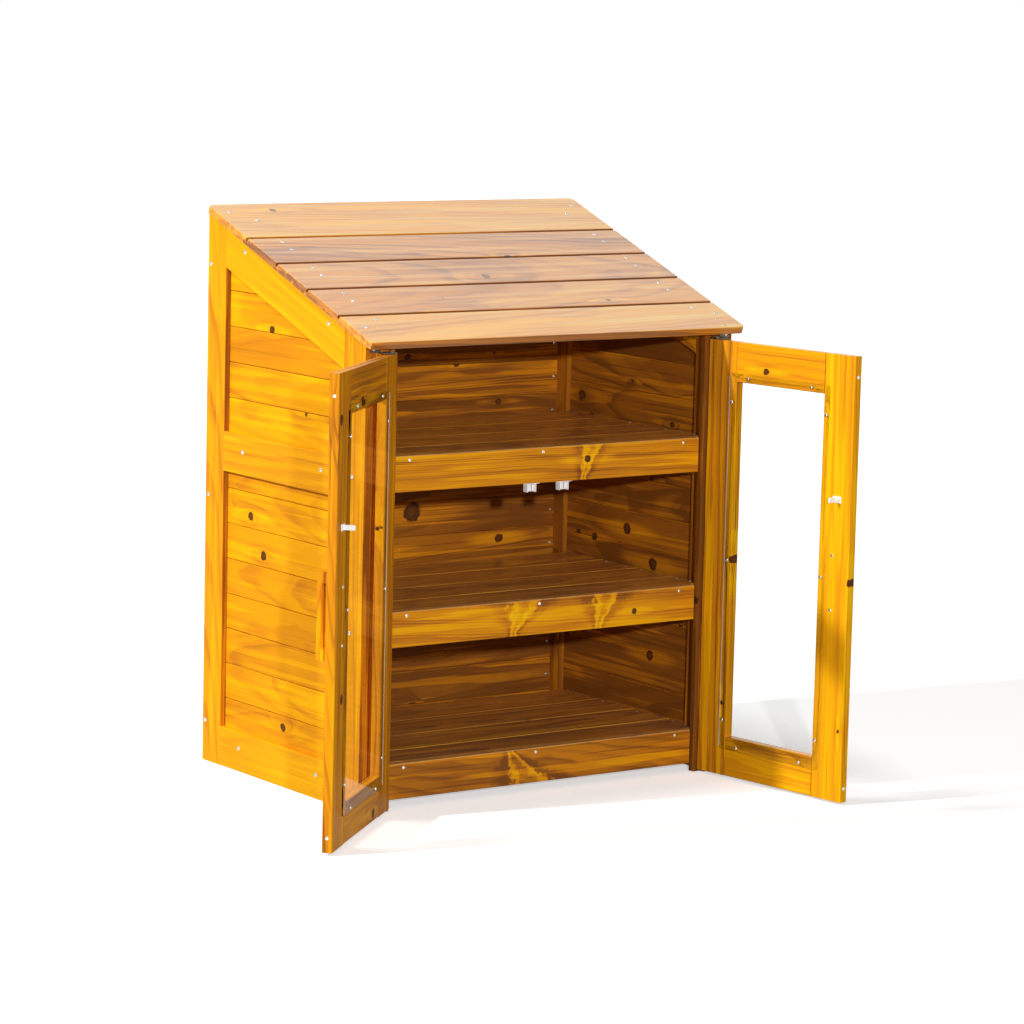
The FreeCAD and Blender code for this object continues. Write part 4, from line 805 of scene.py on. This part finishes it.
def crossed_head():
    """A screw head of unit radius and unit height with a cross recess."""
    head = object_from(lathe(HEAD_PROFILE, HEAD_SIDES), "screw_head")
    cross = bmesh.new()
    lift = Matrix.Translation((0, 0, CROSS_MIDDLE))
    for length, width in ((CROSS_LENGTH, CROSS_WIDTH), (CROSS_WIDTH, CROSS_LENGTH)):
        bar = bmesh.ops.create_cube(cross, size=1.0)
        shape = Matrix.Diagonal((length, width, CROSS_HEIGHT, 1))
        bmesh.ops.transform(cross, matrix=lift @ shape, verts=bar["verts"])
    tool = object_from(cross, "cross_tool")
    cut = head.modifiers.new("cross", "BOOLEAN")
    cut.operation = "DIFFERENCE"
    cut.solver = "EXACT"
    cut.use_self = True
    cut.object = tool
    bpy.context.view_layer.update()
    shaped = bpy.data.meshes.new_from_object(head.evaluated_get(bpy.context.evaluated_depsgraph_get()))
    bpy.data.objects.remove(head)
    bpy.data.objects.remove(tool)
    return shaped


def off_line(point, foot, direction):
    """How far a point lies off the line through a foot."""
    arm = point - foot
    return (arm - direction * arm.dot(direction)).length


def screw_axis(solid):
    """The foot and outward direction of a screw's head, its radius and height, and the shank's length."""
    centre = sum(solid, Vector()) / len(solid)
    reach = max(solid, key=lambda point: (point - centre).length)
    rough = (reach - centre).normalized()
    # The screws lie square to a wall, a door or the roof
    choices = [RIGHT, REAR, UP, UPSLOPE.cross(RIGHT)]
    for side in ("left", "right"):
        choices += door_directions(side)
    axis = max(choices, key=lambda choice: abs(choice.dot(rough)))
    low, high = span(solid, axis)
    ends = {}
    for sign, end in ((1, high), (-1, low)):
        near = [point for point in solid if abs(point.dot(axis) - end) < END_STRETCH]
        middle = sum(near, Vector()) / len(near)
        ends[sign] = max(off_line(point, middle, axis) for point in near)
    sign = max(ends, key=ends.get)
    out = axis * sign
    low, high = span(solid, out)
    radius = ends[sign]
    wide = [point for point in solid if point.dot(out) > high - END_STRETCH]
    middle = sum(wide, Vector()) / len(wide)
    base = min(point.dot(out) for point in wide if off_line(point, middle, out) > radius * RIM_SHARE)
    foot = middle - out * (middle.dot(out) - base)
    return foot, out, radius, high - base, base - low


def crossed_screws(name, body):
    """Detailed screws in place of a node of plain ones."""
    form = bmesh.new()
    dice = random.Random(name)
    for solid in loose_parts(nodes[name].data):
        foot, out, radius, height, length = screw_axis(solid)
        turn = out.to_track_quat("Z", "Y").to_matrix().to_4x4()
        spin = Matrix.Rotation(dice.uniform(0, math.pi), 4, "Z")
        place = Matrix.Translation(foot) @ turn @ spin
        head = HEAD.copy()
        head.transform(place @ Matrix.Diagonal((radius, radius, height, 1)))
        add_mesh(form, head)
        shank_radius = min(radius * SHANK_SHARE, THICKEST_SHANK)
        shank = lathe([(shank_radius, -length), (shank_radius, height * SHANK_IN_HEAD)], SHANK_SIDES)
        bmesh.ops.transform(shank, matrix=place, verts=shank.verts)
        add_mesh(form, mesh_from(shank, "shank"))
    screws = object_from(form, f"{name}_crossed")
    screws.data.materials.append(zinc)
    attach(screws, body)
    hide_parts(name)


zinc = zinc_plate()
plastic = white_plastic()
dress_side_walls()
dress_back()
dress_roof()
dress_shelves()
dress_doors()
dress("catch_housings", plastic)
dress("catch_rollers", plastic)
dress("pivot_brackets", dull_steel())
HEAD = crossed_head()
for screw_set in ("roof_screws", "wall_screws", "shelf_screws", "hardware_screws"):
    crossed_screws(screw_set, "cabinet")
for door in ("left_door", "right_door"):
    for screw_set in ("pane_screws", "fixing_screws", "pivot_screws"):
        crossed_screws(f"{door}_{screw_set}", door)


# Floor and light: the floor turns white to the eye between its near and its far distance
FLOOR_NEAR = 2.0
FLOOR_FAR = 6.0
FLOOR_HALF_WIDTH = 20.0
FLOOR_GLOW = 0.5
FLOOR_SEEN = (0.9, 0.9, 0.9)
FLOOR_BOUNCE = (0.3, 0.3, 0.3)
WHITE = (1.0, 1.0, 1.0)
SKY_LIGHT = 0.2
LAMP_DISTANCE = 8.0
LAMP_AIM = Vector((0, -0.3, 0.6))


def pale_floor():
    """A wide pale floor that keeps the shadow and turns white to the eye further off."""
    form = bmesh.new()
    bmesh.ops.create_grid(form, x_segments=1, y_segments=1, size=FLOOR_HALF_WIDTH)
    floor = object_from(form, "floor")
    paint = new_finish("pale_floor")
    seen = seen_directly(paint)
    far = paint.smooth(paint.length(paint.place()), FLOOR_NEAR, FLOOR_FAR, FLOOR_GLOW, 1.0)
    shade = paint.mix(seen, FLOOR_BOUNCE, FLOOR_SEEN)
    plain = paint.node("ShaderNodeBsdfDiffuse", {}, {"Color": shade})
    glow = paint.node("ShaderNodeEmission", {}, {"Color": WHITE, "Strength": seen * far})
    both = paint.node("ShaderNodeAddShader", {}, {0: plain["BSDF"], 1: glow["Emission"]})
    floor.data.materials.append(paint.done(both["Shader"]))


def seen_directly(finish):
    """1 for the rays that show a surface to the eye, in a mirror or through glass."""
    path = finish.node("ShaderNodeLightPath")
    shown = finish.maths("MAXIMUM", path["Is Glossy Ray"], path["Is Transmission Ray"])
    return finish.maths("MAXIMUM", path["Is Camera Ray"], shown)


def bright_world():
    """White where it is seen, and a softer light on the object."""
    world = bpy.data.worlds.new("studio")
    bpy.context.scene.world = world
    sky = Finish(world)
    strength = seen_directly(sky) * (1.0 - SKY_LIGHT) + SKY_LIGHT
    light = sky.node("ShaderNodeBackground", {}, {"Color": WHITE, "Strength": strength})
    sky.node("ShaderNodeOutputWorld", {}, {"Surface": light["Background"]})


def lamp(name, toward, size, brightness, colour, glare=True):
    """A square lamp that gives a white surface facing it this brightness, with or without a reflection."""
    data = bpy.data.lights.new(name, "AREA")
    data.shape = "SQUARE"
    data.size = size
    data.energy = brightness * (math.pi * LAMP_DISTANCE) ** 2
    data.color = colour
    light = bpy.data.objects.new(name, data)
    bpy.context.scene.collection.objects.link(light)
    light.visible_camera = False
    light.visible_glossy = glare
    direction = Vector(toward).normalized()
    light.location = LAMP_AIM + direction * LAMP_DISTANCE
    light.rotation_euler = direction.to_track_quat("Z", "Y").to_euler()


def camera():
    azimuth = math.radians(-35.17)
    elevation = math.radians(8.07)
    roll = math.radians(1.372)
    target = Vector((0.0636, -0.362, 0.5383))
    distance = 7.9596
    back = Vector((math.sin(azimuth) * math.cos(elevation), -math.cos(azimuth) * math.cos(elevation),
                   math.sin(elevation)))
    right = Vector((math.cos(azimuth), math.sin(azimuth), 0))
    up = back.cross(right)
    level = Matrix((right, up, back)).transposed()
    view = bpy.data.cameras.new("camera")
    view.sensor_width = 36.0
    view.lens = 135.23
    seat = bpy.data.objects.new("camera", view)
    bpy.context.scene.collection.objects.link(seat)
    seat.matrix_world = Matrix.Translation(target + back * distance) @ (
        level @ Matrix.Rotation(roll, 3, "Z")).to_4x4()
    bpy.context.scene.camera = seat


pale_floor()
bright_world()
lamp("side_lamp", (-0.870, 0.120, 0.478), size=0.3, brightness=0.84, colour=(1.0, 0.98, 0.94), glare=False)
lamp("front_lamp", (-0.462, -0.866, 0.188), size=0.14, brightness=0.56, colour=(1.0, 0.98, 0.95))
lamp("top_lamp", (-0.25, 0.10, 1.0), size=1.2, brightness=0.3, colour=(1.0, 0.97, 0.93))
camera()
bpy.context.scene.view_settings.view_transform = "Standard"
